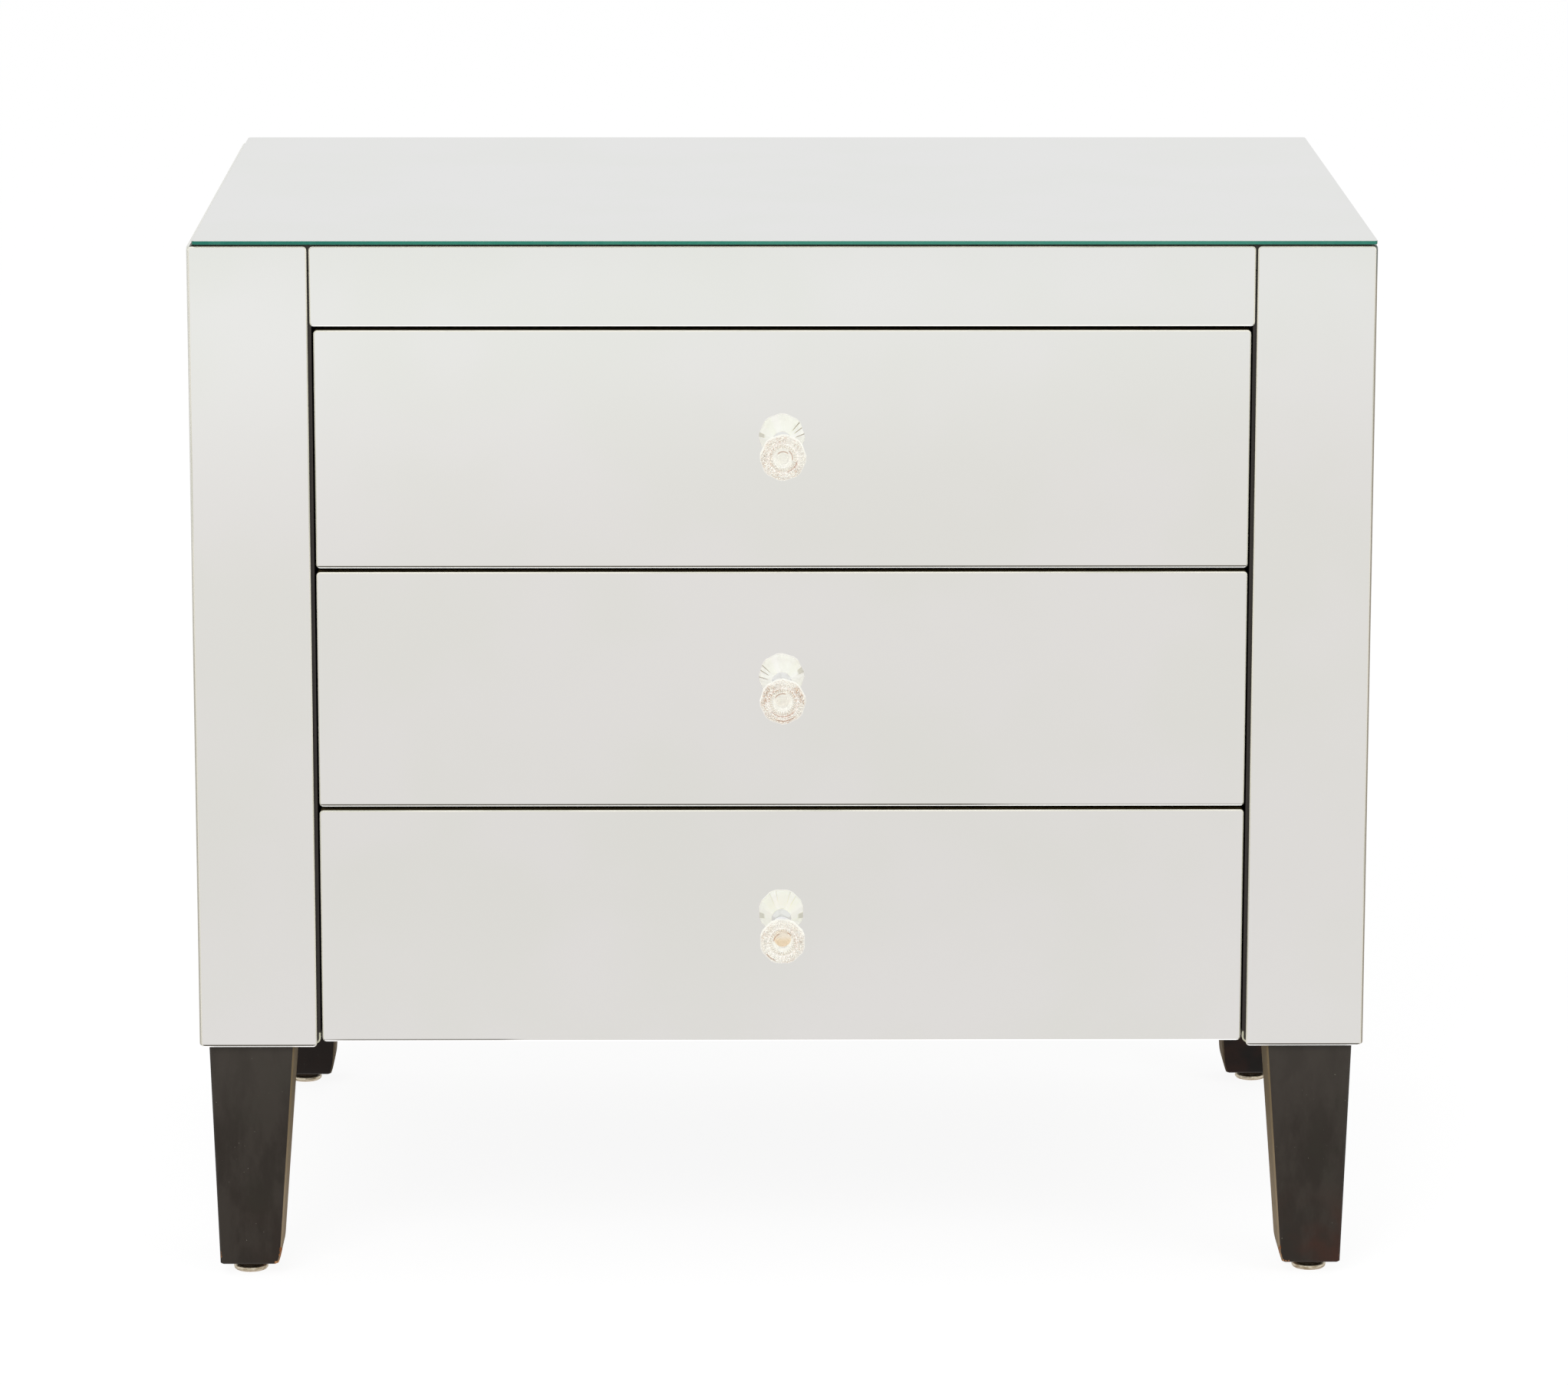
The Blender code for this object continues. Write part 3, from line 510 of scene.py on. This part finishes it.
def leg_finish(node, sign, warmth, shade):
    """A leg's dark satin paint: mottled, specked, and chipped to warm bare wood at the toe's edges.

    The warmth is how red its toe is, and the shade how dark it stands under the case.
    """
    look = Finish(f"leg_paint_{node}")
    place = look.place()
    z = look.parts(place)[2]
    mottle = look.noise(look.stretched((1, 1, 0.4)), 60, 4, 0.6)
    patch = look.noise(place, 19, 3)
    colour = look.blend(srgb(47, 41, 35), srgb(59, 53, 47), mottle.rise(0.36, 0.64))
    colour = look.blend(colour, srgb(49, 50, 39), patch.rise(0.5, 0.7) * 0.4)
    colour = look.blend(colour, srgb(72, 67, 61), z.rise(0.09, 0.165) * 0.45)
    colour = look.blend(colour, srgb(12, 10, 8), shade)
    toe = z.rise(0.075, 0.012)
    colour = look.blend(colour, srgb(68, 42, 32), toe * warmth * patch.rise(0.35, 0.6))
    grain = look.noise(look.stretched((140, 140, 12)), 4, 3)
    # Painted sheen: the inner side is painted lighter, and lighter still towards the floor
    inwards = (look.normal()[0] * -sign).rise(0.45, 0.75)
    painted_sheen = look.blend(srgb(140, 122, 92), srgb(180, 160, 132), z.rise(0.14, 0.03))
    colour = look.blend(colour, painted_sheen, inwards * (0.85 - shade * 0.3))
    chip_noise = look.noise(look.stretched((1, 1, 0.45)), 260, 3, 0.7)
    edge_mark = toe_wear(look, node, sign) * (1 - shade)
    chip = (edge_mark * chip_noise.rise(0.34, 0.56)).rise(0.36, 0.50)
    raw = look.blend(srgb(150, 92, 54), srgb(214, 160, 110), z.rise(0.020, 0.010) * chip_noise.rise(0.4, 0.6))
    colour = look.blend(colour, raw, chip)
    fleck = look.noise(place, 700, 1).rise(0.79, 0.83)
    colour = look.blend(colour, srgb(190, 186, 170), fleck * 0.55)
    return look.set(
        Base_Color=colour,
        Roughness=mottle * 0.14 + 0.40 + chip * 0.2 + inwards * 0.35,
        Specular_IOR_Level=0.22,
        Normal=look.bump(grain * 0.4 + mottle * 0.4 - chip * 1.2, 0.16, 0.0004),
    )


def toe_wear(look, node, sign):
    """How worn a leg's toe is at a point: most on its inner side, and along its edges."""
    x, y, z = look.parts(look.place())
    low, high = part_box(node)
    from_middle = (x - (low.x + high.x) / 2) * -sign
    inner_side = from_middle.rise(0.006, 0.012)
    outer_side = from_middle.rise(-0.016, -0.020)
    edge = edge_wear(node, sign, x, y, z)
    inner_wear = edge * inner_side * z.rise(0.030, 0.016)
    outer_wear = edge * outer_side * z.rise(0.026, 0.014) * 0.62
    return inner_wear.most(outer_wear) + z.rise(0.0118, 0.0100) * inner_side * 0.7


def edge_wear(node, sign, x, y, z):
    """How near a point is to one of a leg's four upright edges, from 0 to 1."""
    low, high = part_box(node)
    run = (high.z - z) * (1 / (high.z - low.z))

    def from_edge(along, outer, width):
        """How far it is along an axis to the nearer edge, given where the outer one is at the leg's top."""
        from_outer = (along - outer).size() - run * LEG_OUTER_TAPER
        from_inner = width - run * (LEG_OUTER_TAPER + LEG_INNER_TAPER) - from_outer
        return from_outer.least(from_inner)

    near_x = from_edge(x, high.x if sign > 0 else low.x, high.x - low.x)
    near_y = from_edge(y, low.y if "front" in node else high.y, high.y - low.y)
    return near_x.most(near_y).rise(EDGE_WEAR, 0)


def glide_finish():
    """Worn nickel over brass: darker above the rim, and rubbed bright where it meets the floor."""
    look = Finish("glide_nickel_worn")
    z = look.parts(look.place())[2]
    tarnish = look.noise(look.stretched((1, 1, 2.5)), 220, 4, 0.65)
    nickel = look.blend(srgb(224, 214, 192), srgb(176, 160, 132), tarnish.rise(0.42, 0.66))
    rim = z.rise(0.0046, 0.0042)
    colour = look.blend(srgb(58, 48, 40), nickel, rim)
    brass = z.rise(0.0012, 0.0004)
    colour = look.blend(colour, srgb(180, 140, 96), brass * 0.6)
    return look.set(
        Base_Color=colour,
        Metallic=1.0,
        Roughness=tarnish * 0.25 + 0.22 + (1 - rim) * 0.2,
        Normal=look.bump(tarnish, 0.15, 0.0003),
    )


class KnobFinish(Finish):
    """The glass of one level's knob, with coordinates round the knob's own axis."""

    def __init__(self, level):
        super().__init__(f"knob_glass_{level}")
        self.level = level
        x, y, z = self.parts(self.place())
        low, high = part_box(f"{level}_drawer_knob")
        self.across = x - (low.x + high.x) / 2
        self.up = z - (low.z + high.z) / 2
        self.out = FRONT_FACE - y
        self.reach = distance(self.across, self.up)
        self.turn = self.up.maths("ARCTAN2", self.up, self.across)

    def spokes(self, angles, edge, core):
        """A mask with a spoke at each angle: 0 beyond its edge, and 1 within its core."""
        mask = 0.0
        for angle in angles:
            mask = (self.turn - math.radians(angle)).size().rise(edge, core).most(mask)
        return mask

    def arcs(self):
        """A mask with the level's arcs, which fade towards their ends."""
        mask = 0.0
        for radius, middle, half in KNOB_ARCS[self.level]:
            half = math.radians(half)
            ends = (self.turn - math.radians(middle)).size().rise(half, half * 0.6)
            mask = ((self.reach - radius).size().rise(0.0006, 0.0002) * ends).most(mask)
        return mask

    def facets(self):
        """The colour of the cone, all painted reflection and shade: cream facets, with a few refracted lines and
        shaded flats.
        """
        wide = self.turn.maths("SINE", self.turn * 4 + 1.0).rise(-0.2, 0.2)
        narrow = self.turn.maths("SINE", self.turn * 7.3).rise(-0.1, 0.3)
        cream = self.blend((0.955, 0.968, 0.90, 1.0), (1.0, 1.0, 0.99, 1.0), (wide + narrow) * 0.5)
        # Painted reflection: dark lines for facet edges seen through the glass
        line = self.spokes(KNOB_REFRACTED_LINES[self.level], 0.036, 0.014) * self.reach.rise(0.0085, 0.0105)
        cream = self.blend(cream, srgb(140, 124, 102), line * KNOB_REFRACTED_LINE_DEPTH[self.level])
        shade = self.spokes(KNOB_SHADES[self.level], 0.15, 0.12) * self.reach.rise(0.0110, 0.0130)
        return self.blend(cream, srgb(170, 166, 146), shade * 0.7)


def knob_glass(level):
    """Pressed glass with painted light: fine glints in front, a bright rim that glows, and cream facets behind with
    a few refracted lines.
    """
    look = KnobFinish(level)
    out, reach = look.out, look.reach
    back = out.rise(KNOB_GIRDLE_START + 0.0002, KNOB_GIRDLE_START - 0.0004)
    rim = out.rise(KNOB_GIRDLE_START, KNOB_GIRDLE_START + 0.0006)
    rim = rim * out.rise(KNOB_CROWN_TOP, KNOB_CROWN_TOP - 0.0004)
    front = out.rise(KNOB_CROWN_START, KNOB_CROWN_TOP)
    cells = look.node(
        "ShaderNodeTexVoronoi", {"feature": "F1"}, {"Vector": look.place(), "Scale": KNOB_CELLS}, "Color"
    )
    tone, kind, _ = look.parts(cells)
    outside = reach.rise(KNOB_BEAD_INNER, KNOB_BEAD_OUTER) * front
    drift = look.noise(look.place(), 90, 2).rise(0.3, 0.7)
    # Painted reflection: brown speckles standing for the teeth seen through the glass
    reflected_speckle = outside * tone.rise(0.5, 0.8) * (drift * 0.75 + 0.35)
    glint = outside * kind.rise(0.70, 0.76) * (1 - tone.rise(0.4, 0.5))
    speckle_colour = look.blend(srgb(188, 128, 90), srgb(116, 92, 70), kind.rise(0.30, 0.15))
    colour = look.blend((1.0, 0.985, 0.93, 1.0), speckle_colour, reflected_speckle * KNOB_REFLECTED_SPECKLE[level])
    # Painted reflection: a tan heart and brown arcs for the stem seen through the glass
    from_heart = distance(look.across, look.up - KNOB_HEART_LIFT)
    heart = from_heart.rise(KNOB_HEART_RADIUS, KNOB_HEART_RADIUS - 0.0008) * front
    tan = look.blend(srgb(246, 208, 158), srgb(250, 234, 216), look.up.rise(0.0005, 0.0050))
    colour = look.blend(colour, tan, heart * KNOB_HEARTS[level])
    colour = look.blend(colour, srgb(166, 106, 68), look.arcs() * front * 0.75)
    ring = reach.rise(KNOB_BEAD_INNER, KNOB_BEAD_INNER + 0.0004)
    ring = ring * reach.rise(KNOB_BEAD_OUTER, KNOB_BEAD_OUTER - 0.0004)
    phase = math.pi / 2 - KNOB_BEADS * math.radians(KNOB_TURNS[level])
    bead = look.turn.maths("SINE", look.turn * KNOB_BEADS + phase) * front
    # Painted shade: darker tan in the gaps between the beads
    colour = look.blend(colour, srgb(210, 188, 164), ring * bead.rise(-0.2, -0.8) * 0.6)
    shine = (glint * 0.8).most(ring * bead.rise(0.3, 0.8) * 0.5)
    return look.set(
        Base_Color=look.blend(colour, look.facets(), back),
        Roughness=back * 0.42 + 0.02,
        IOR=1.5,
        Metallic=rim * 0.7 + back * 0.5 + shine,
        Transmission_Weight=0.6,
        # Painted light: the back facets and the rim glow a little
        Emission_Color=look.blend(BLACK, (1.0, 1.0, 0.96, 1.0), back.most(rim * 0.6)),
        Emission_Strength=0.21,
        Normal=look.bump(kind * front, 0.35, 0.0004),
    )


def stem_chrome():
    """Polished chrome outside, and pinkish brown in the cup that holds the knob's glass neck."""
    look = Finish("knob_stem_chrome")
    place = look.place()
    x, y, z = look.parts(place)
    out = FRONT_FACE - y
    reaches = []
    for level in LEVELS:
        low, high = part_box(f"{level}_drawer_knob_stem")
        reaches.append(distance(x, z - (low.z + high.z) / 2))
    reach = reaches[0].least(reaches[1]).least(reaches[2])
    inside = out.rise(CUP_START, CUP_START + 0.0004) * reach.rise(CUP_RADIUS, CUP_RADIUS - SOFT)
    floor = out.rise(CUP_FLOOR, CUP_FLOOR + SOFT) * reach.rise(CUP_FLOOR_RADIUS, CUP_FLOOR_RADIUS - 0.0004)
    wear = look.noise(place, 180, 3)
    chrome = look.blend(srgb(246, 246, 246), srgb(236, 235, 234), wear.rise(0.45, 0.7))
    cup = look.blend(srgb(188, 146, 126), srgb(244, 242, 232), floor)
    return look.set(
        Base_Color=look.blend(chrome, cup, inside),
        Metallic=1.0,
        Roughness=wear * 0.08 + 0.05 + inside * 0.25,
    )


def plated_steel():
    """Dull zinc plate on the small fixings."""
    look = Finish("fixing_zinc_plate")
    place = look.place()
    mottle = look.noise(place, 420, 3)
    colour = look.blend(srgb(188, 187, 180), srgb(214, 212, 204), mottle.rise(0.4, 0.6))
    return look.set(
        Base_Color=colour,
        Metallic=1.0,
        Roughness=mottle * 0.2 + 0.24,
        Normal=look.bump(mottle, 0.08, 0.0002),
    )


def wood_finish(name, along):
    """Pale lacquered wood, with its grain along one axis: growth bands, fine pores and a few darker streaks."""
    look = Finish(name)
    scale = [26.0, 26.0, 26.0]
    scale[along] = 1.6
    fibre = [420.0, 420.0, 420.0]
    fibre[along] = 14.0
    bands = look.noise(look.stretched(scale), 1.0, 5, 0.6, 0.4)
    pores = look.noise(look.stretched(fibre), 1.0, 2, 0.5)
    streak = look.noise(look.stretched([value * 0.35 for value in scale], (3, 5, 7)), 1.0, 3, 0.5)
    colour = look.blend(srgb(192, 154, 112), srgb(212, 178, 136), bands.rise(0.3, 0.7))
    colour = look.blend(colour, srgb(164, 122, 82), streak.rise(0.56, 0.74) * 0.5)
    colour = look.blend(colour, srgb(146, 106, 70), pores.rise(0.62, 0.76) * 0.45)
    return look.set(
        Base_Color=colour,
        Roughness=pores * 0.12 + 0.38,
        Normal=look.bump(bands * 0.5 + pores, 0.14, 0.0003),
    )


def slide_finish(node, roller_at_front):
    """Cream powder coat on rolled steel, with a white nylon roller on a plated axle."""
    look = Finish(f"slide_coat_{node}")
    place = look.place()
    x, y, _ = look.parts(place)
    low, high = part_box(node)
    roller_y = low.y + ROLLER_SETBACK if roller_at_front else high.y - ROLLER_SETBACK
    mottle = look.noise(place, 160, 3)
    coat = look.blend(srgb(214, 210, 196), srgb(224, 221, 209), mottle.rise(0.4, 0.6))
    scuff = look.noise(look.stretched((400, 6, 400)), 1.0, 3).rise(0.6, 0.75)
    coat = look.blend(coat, srgb(150, 146, 136), scuff * 0.5)
    near = (y - roller_y).size().rise(ROLLER_CLEAR, ROLLER_CLEAR - SOFT)
    away = (x.size() - max(abs(low.x), abs(high.x))).size()
    wheel = near * away.rise(ROLLER_START, ROLLER_START + SOFT) * away.rise(ROLLER_END, ROLLER_END - SOFT)
    colour = look.blend(coat, srgb(232, 232, 228), wheel)
    return look.set(
        Base_Color=colour,
        Roughness=0.42 + mottle * 0.1 - wheel * 0.1,
        Normal=look.bump(mottle, 0.1, 0.0002),
    )


def finished(name, bm, look, body, sharp_above):
    """A new piece from a finished bmesh, riding on a body of the chest."""
    bmesh.ops.recalc_face_normals(bm, faces=bm.faces[:])
    bm.verts.sort(key=lambda vert: vert.co.dot(SORT_ALONG))
    bm.faces.sort(key=lambda face: face.calc_center_median().dot(SORT_ALONG))
    mesh = bpy.data.meshes.new(name)
    bm.to_mesh(mesh)
    bm.free()
    mesh.shade_smooth()
    mesh.set_sharp_from_angle(angle=sharp_above)
    mesh.materials.append(look)
    obj = bpy.data.objects.new(name, mesh)
    bpy.context.scene.collection.objects.link(obj)
    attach(obj, body)
    return obj


def spun(profile, columns):
    """A profile of (radius, height) points, from the Z axis and back to it, spun right round."""
    bm = bmesh.new()
    points = [bm.verts.new((radius, 0, height)) for radius, height in profile]
    edges = [bm.edges.new(pair) for pair in zip(points, points[1:])]
    bmesh.ops.spin(
        bm, geom=points + edges, axis=(0, 0, 1), cent=(0, 0, 0), angle=math.tau, steps=columns, use_merge=True
    )
    bmesh.ops.remove_doubles(bm, verts=bm.verts[:], dist=0.000002)
    return bm


def octagon(turn):
    """How far out the edge of a knob lies at an angle: eight flats, with a slim flat across each corner."""
    facet = math.tau / KNOB_FACETS
    from_middle = (turn % facet) - facet / 2
    flat = math.cos(facet / 2) / math.cos(from_middle)
    corner = KNOB_CORNER_SHARE / math.cos(facet / 2 - abs(from_middle))
    return min(flat, corner)


def knob_profile():
    """A knob's section as (radius, height) points: neck, cone, girdle, crown, fan, beads and domed lens."""
    bead_middle = (KNOB_BEAD_OUTER + KNOB_BEAD_INNER) / 2
    bead_rise = KNOB_TABLE - KNOB_BEAD_HEIGHT * 0.35
    lens_turns = [math.pi / 2 * step / KNOB_LENS_STEPS for step in range(KNOB_LENS_STEPS)]
    return [
        (0, KNOB_NECK_START),
        (KNOB_NECK_RADIUS, KNOB_NECK_START),
        (KNOB_NECK_RADIUS, KNOB_CONE_START),
        (KNOB_RADIUS, KNOB_GIRDLE_START),
        (KNOB_RADIUS, KNOB_CROWN_START),
        (KNOB_CROWN_RADIUS, KNOB_CROWN_TOP),
        (KNOB_TABLE_RADIUS, KNOB_TABLE),
        (KNOB_FAN_RADIUS, KNOB_FLOOR),
        (KNOB_BEAD_OUTER, KNOB_FLOOR),
        ((KNOB_BEAD_OUTER + bead_middle) / 2, bead_rise),
        (bead_middle, KNOB_TABLE),
        ((KNOB_BEAD_INNER + bead_middle) / 2, bead_rise),
        (KNOB_BEAD_INNER, KNOB_FLOOR),
        *((KNOB_LENS_RADIUS * math.cos(turn), KNOB_FLOOR + KNOB_LENS_RISE * math.sin(turn)) for turn in lens_turns),
        (0, KNOB_FLOOR + KNOB_LENS_RISE),
    ]


def press(bm):
    """Presses a knob's sides, the flutes of its fan and the gaps between its beads into the spun glass."""
    for vert in bm.verts:
        reach = math.hypot(vert.co.x, vert.co.y)
        turn = math.atan2(vert.co.y, vert.co.x) % math.tau
        if reach > KNOB_TABLE_RADIUS - NEAR:
            stretch = octagon(turn)
            vert.co.x *= stretch
            vert.co.y *= stretch
        elif reach > KNOB_FAN_RADIUS - NEAR:
            wave = abs(((turn * KNOB_FLUTES / math.tau) % 1) * 2 - 1)
            vert.co.z -= KNOB_FLUTE_DEPTH * wave
        elif KNOB_BEAD_INNER + NEAR < reach < KNOB_BEAD_OUTER - NEAR and vert.co.z > KNOB_FLOOR:
            gap = 0.5 - 0.5 * math.cos(turn * KNOB_BEADS)
            vert.co.z -= (vert.co.z - KNOB_FLOOR) * gap * KNOB_BEAD_CUT


def make_knob(level, glass):
    """A pressed glass knob on its drawer, in the place of the plainer solid."""
    bm = spun(knob_profile(), KNOB_COLUMNS)
    press(bm)
    low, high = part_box(f"{level}_drawer_knob")
    middle = Vector(((low.x + high.x) / 2, FRONT_FACE, (low.z + high.z) / 2))
    outwards = Matrix.Rotation(math.pi / 2, 4, "X") @ Matrix.Rotation(math.radians(KNOB_TURNS[level]), 4, "Z")
    bmesh.ops.transform(bm, matrix=Matrix.Translation(middle) @ outwards, verts=bm.verts[:])
    name = f"{level}_drawer_glass_knob"
    knob = finished(name, bm, glass, f"{level}_drawer", KNOB_SHARP_ABOVE)
    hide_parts(f"{level}_drawer_knob")


def make_knob_nut(level, plate):
    """The washer and the six sided nut on a knob's stud, inside the drawer."""
    low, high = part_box(f"{level}_drawer_knob_stem")
    middle = Vector(((low.x + high.x) / 2, FRONT_FACE + FRONT_BOARD_BACK, (low.z + high.z) / 2))
    washer_profile = [
        (0, 0),
        (WASHER_RADIUS, 0),
        (WASHER_RADIUS, WASHER_THICK * 0.7),
        (WASHER_RADIUS - WASHER_THICK * 0.3, WASHER_THICK),
        (0, WASHER_THICK),
    ]
    bm = spun(washer_profile, WASHER_SIDES)
    corner = NUT_FLATS / math.sqrt(3)
    nut = bmesh.ops.create_cone(bm, cap_ends=True, segments=6, radius1=corner, radius2=corner, depth=NUT_HEIGHT)
    rim = {edge for vert in nut["verts"] for edge in vert.link_edges}
    bmesh.ops.translate(bm, vec=(0, 0, WASHER_THICK + NUT_HEIGHT / 2), verts=nut["verts"])
    bmesh.ops.bevel(bm, geom=list(rim), offset=NUT_ARRIS, segments=2, profile=0.5, affect="EDGES", material=-1)
    inwards = Matrix.Translation(middle) @ Matrix.Rotation(-math.pi / 2, 4, "X")
    bmesh.ops.transform(bm, matrix=inwards, verts=bm.verts[:])
    finished(f"{level}_drawer_knob_nut", bm, plate, f"{level}_drawer", FIXING_SHARP_ABOVE)


def screw_head(bm, matrix):
    """Adds a domed screw head with a cross recess, its face along +Z, where the matrix puts it."""
    made = bmesh.ops.create_circle(bm, cap_ends=True, segments=SCREW_SIDES, radius=SCREW_HEAD)["verts"]
    face = next(face for face in made[0].link_faces if len(face.verts) == SCREW_SIDES)
    for share, rise in SCREW_DOME:
        made += draw_in(bm, face, SCREW_RISE * rise, SCREW_HEAD * share)
    made += draw_in(bm, face, SCREW_RISE)
    for number, vert in enumerate(face.verts):
        pull = SCREW_CROSS[number % 4]
        vert.co.x *= pull
        vert.co.y *= pull
    made += draw_in(bm, face, SCREW_RISE - SCREW_RECESS)
    bmesh.ops.transform(bm, matrix=matrix, verts=made)


def draw_in(bm, face, height, radius=None):
    """Draws a face out into a new ring at a height, and at a radius of its own if that is given."""
    before = set(bm.verts)
    bmesh.ops.inset_region(bm, faces=[face], thickness=0.0, use_even_offset=False)
    share = 1 if radius is None else radius / math.hypot(*face.verts[0].co.xy)
    for vert in face.verts:
        vert.co.x *= share
        vert.co.y *= share
        vert.co.z = height
    return [vert for vert in bm.verts if vert not in before]


def make_slide_screws(plate):
    """Screws through the slides: into the partitions on the case, and up into the sides on the drawers."""
    case_screws = bmesh.new()
    for level in LEVELS:
        drawer_screws = bmesh.new()
        for side, sign in SIDES.items():
            low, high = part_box(f"{level}_case_slide_{side}")
            web = (high.x if sign > 0 else low.x) - sign * SLIDE_STEEL
            height = (low.z + high.z) / 2 + CASE_SCREW_RAISE
            turn = Matrix.Rotation(-sign * math.pi / 2, 4, "Y")
            for along in SCREW_SPACING:
                screw_head(case_screws, Matrix.Translation((web, low.y + along, height)) @ turn)
            low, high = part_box(f"{level}_drawer_slide_{side}")
            lip = (low.x if sign > 0 else high.x) + sign * DRAWER_SCREW_INSET
            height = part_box(f"{level}_drawer_side_{side}")[0].z - DRAWER_SCREW_DROP
            turn = Matrix.Rotation(math.pi, 4, "X")
            for along in SCREW_SPACING:
                screw_head(drawer_screws, Matrix.Translation((lip, low.y + along, height)) @ turn)
        name = f"{level}_drawer_slide_screws"
        finished(name, drawer_screws, plate, f"{level}_drawer", SCREW_SHARP_ABOVE)
    finished("case_slide_screws", case_screws, plate, "case", SCREW_SHARP_ABOVE)


def dress(node, look):
    """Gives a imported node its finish."""
    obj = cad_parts[node]
    if obj.material_slots:
        for held in obj.material_slots:
            held.material = look
    else:
        obj.data.materials.append(look)


def dress_case():
    dress("top_mirror", top_glass())
    dress("rail_mirror", mirror_finish("rail_mirror", 1))
    paint = case_paint()
    posts = post_paint()
    for side in SIDES:
        dress(f"post_mirror_{side}", mirror_finish(f"post_mirror_{side}", 1, lower_line=(1.0,)))
        dress(f"side_mirror_{side}", mirror_finish(f"side_mirror_{side}", 0, edge=SIDE_EDGES[side]))
        dress(f"side_panel_{side}", paint)
        dress(f"post_{side}", posts)
        dress(f"partition_{side}", paint)
    for node in ("top_panel", "bottom_panel", "top_rail"):
        dress(node, paint)
    dress("back_panel", back_finish())
    glide = glide_finish()
    for end, shade in LEG_SHADE.items():
        for side, sign in SIDES.items():
            node = f"leg_{end}_{side}"
            dress(node, leg_finish(node, sign, TOE_WARMTH[side], shade))
            dress(f"glide_{end}_{side}", glide)


def dress_drawers():
    front_paint = front_board_paint()
    along_depth = wood_finish("drawer_wood_sides", 1)
    across = wood_finish("drawer_wood_across", 0)
    chrome = stem_chrome()
    plate = plated_steel()
    for level in LEVELS:
        mirror = f"{level}_drawer_mirror"
        dress(mirror, mirror_finish(mirror, 1, lower_line=LOWER_LINES[level]))
        dress(f"{level}_drawer_front", front_paint)
        dress(f"{level}_drawer_back", across)
        dress(f"{level}_drawer_bottom", across)
        dress(f"{level}_drawer_knob_stem", chrome)
        for side in SIDES:
            dress(f"{level}_drawer_side_{side}", along_depth)
            for member, at_front in (("case", True), ("drawer", False)):
                node = f"{level}_{member}_slide_{side}"
                dress(node, slide_finish(node, at_front))
        make_knob(level, knob_glass(level))
        make_knob_nut(level, plate)
    make_slide_screws(plate)


def light_path(look):
    """Two masks: rays that come straight or by way of glass and mirrors, and those that only a mirror sent."""
    camera = look.node("ShaderNodeLightPath", {}, {}, "Is Camera Ray")
    through = camera.other("Is Transmission Ray")
    glossy = camera.other("Is Glossy Ray")
    return camera.most(glossy).most(through), glossy * (1 - through)


def floor_finish():
    """Plain pale floor. Seen directly or in glass it is white but for a share of its own shading."""
    material = bpy.data.materials.new("floor_pale")
    material.use_nodes = True
    look = Paint(material.node_tree)
    look.tree.nodes.clear()
    seen, reflected = light_path(look)
    x, y, _ = look.parts(look.place())
    away = (y * -1 + x * -0.35).rise(*FLOOR_FAR_STARTS)
    mirrored = look.blend(FLOOR_NEAR, FLOOR_MIDDLE, (y * -1).rise(*FLOOR_NEAR_FADES))
    tint = look.blend(WHITE, look.blend(mirrored, FLOOR_FAR, away), reflected)
    shaded = look.node("ShaderNodeBsdfDiffuse", {}, {"Color": FLOOR_GREY})
    white = look.node("ShaderNodeEmission", {}, {"Color": tint, "Strength": FLOOR_WHITE})
    share = seen * (1 - FLOOR_SHADE_SHARE)
    both = look.node("ShaderNodeMixShader", {}, {0: share, 1: shaded, 2: white})
    surface = look.tree.nodes.new("ShaderNodeOutputMaterial")
    look.join(surface.inputs["Surface"], both)
    return material


def make_room():
    bm = bmesh.new()
    bmesh.ops.create_grid(bm, x_segments=1, y_segments=1, size=FLOOR_HALF)
    mesh = bpy.data.meshes.new("floor")
    bm.to_mesh(mesh)
    bm.free()
    mesh.materials.append(floor_finish())
    floor = bpy.data.objects.new("floor", mesh)
    bpy.context.scene.collection.objects.link(floor)
    world = bpy.data.worlds.new("studio")
    world.use_nodes = True
    bpy.context.scene.world = world
    look = Paint(world.node_tree)
    seen, reflected = light_path(look)
    backdrop = world.node_tree.nodes["Background"]
    backdrop.inputs["Color"].default_value = WHITE
    strength = seen * (1 - SKY_LEVEL) + SKY_LEVEL - reflected * (1 - SKY_IN_MIRROR)
    look.join(backdrop.inputs["Strength"], strength)
    add_lamp("key_softbox", KEY_PLACE, KEY_SIZE, KEY_RADIANCE)
    add_lamp("fill_softbox", FILL_PLACE, FILL_SIZE, FILL_RADIANCE)


def add_lamp(name, place, size, radiance):
    light = bpy.data.lights.new(name, "AREA")
    light.shape = "SQUARE"
    light.size = size
    light.energy = radiance * math.pi * size * size
    lamp = bpy.data.objects.new(name, light)
    lamp.location = place
    aim = Vector(LAMP_AIM) - Vector(place)
    lamp.rotation_euler = aim.to_track_quat("-Z", "Y").to_euler()
    lamp.visible_camera = False
    lamp.visible_glossy = False
    bpy.context.scene.collection.objects.link(lamp)


def make_camera():
    lens = bpy.data.cameras.new("photo_camera")
    lens.sensor_width = SENSOR_WIDTH
    lens.lens = CAMERA_FOCAL_PIXELS * SENSOR_WIDTH / PHOTO_SIZE[0]
    lens.clip_end = 100
    camera = bpy.data.objects.new("photo_camera", lens)
    turn = (
        Matrix.Rotation(CAMERA_YAW, 4, "Z")
        @ Matrix.Rotation(CAMERA_PITCH, 4, "X")
        @ Matrix.Rotation(CAMERA_ROLL, 4, "Y")
        @ Matrix.Rotation(math.pi / 2, 4, "X")
    )
    camera.matrix_world = Matrix.Translation(CAMERA_PLACE) @ turn
    bpy.context.scene.collection.objects.link(camera)
    bpy.context.scene.camera = camera


make_camera()
make_room()
dress_case()
dress_drawers()
bpy.context.scene.view_settings.view_transform = "Standard"
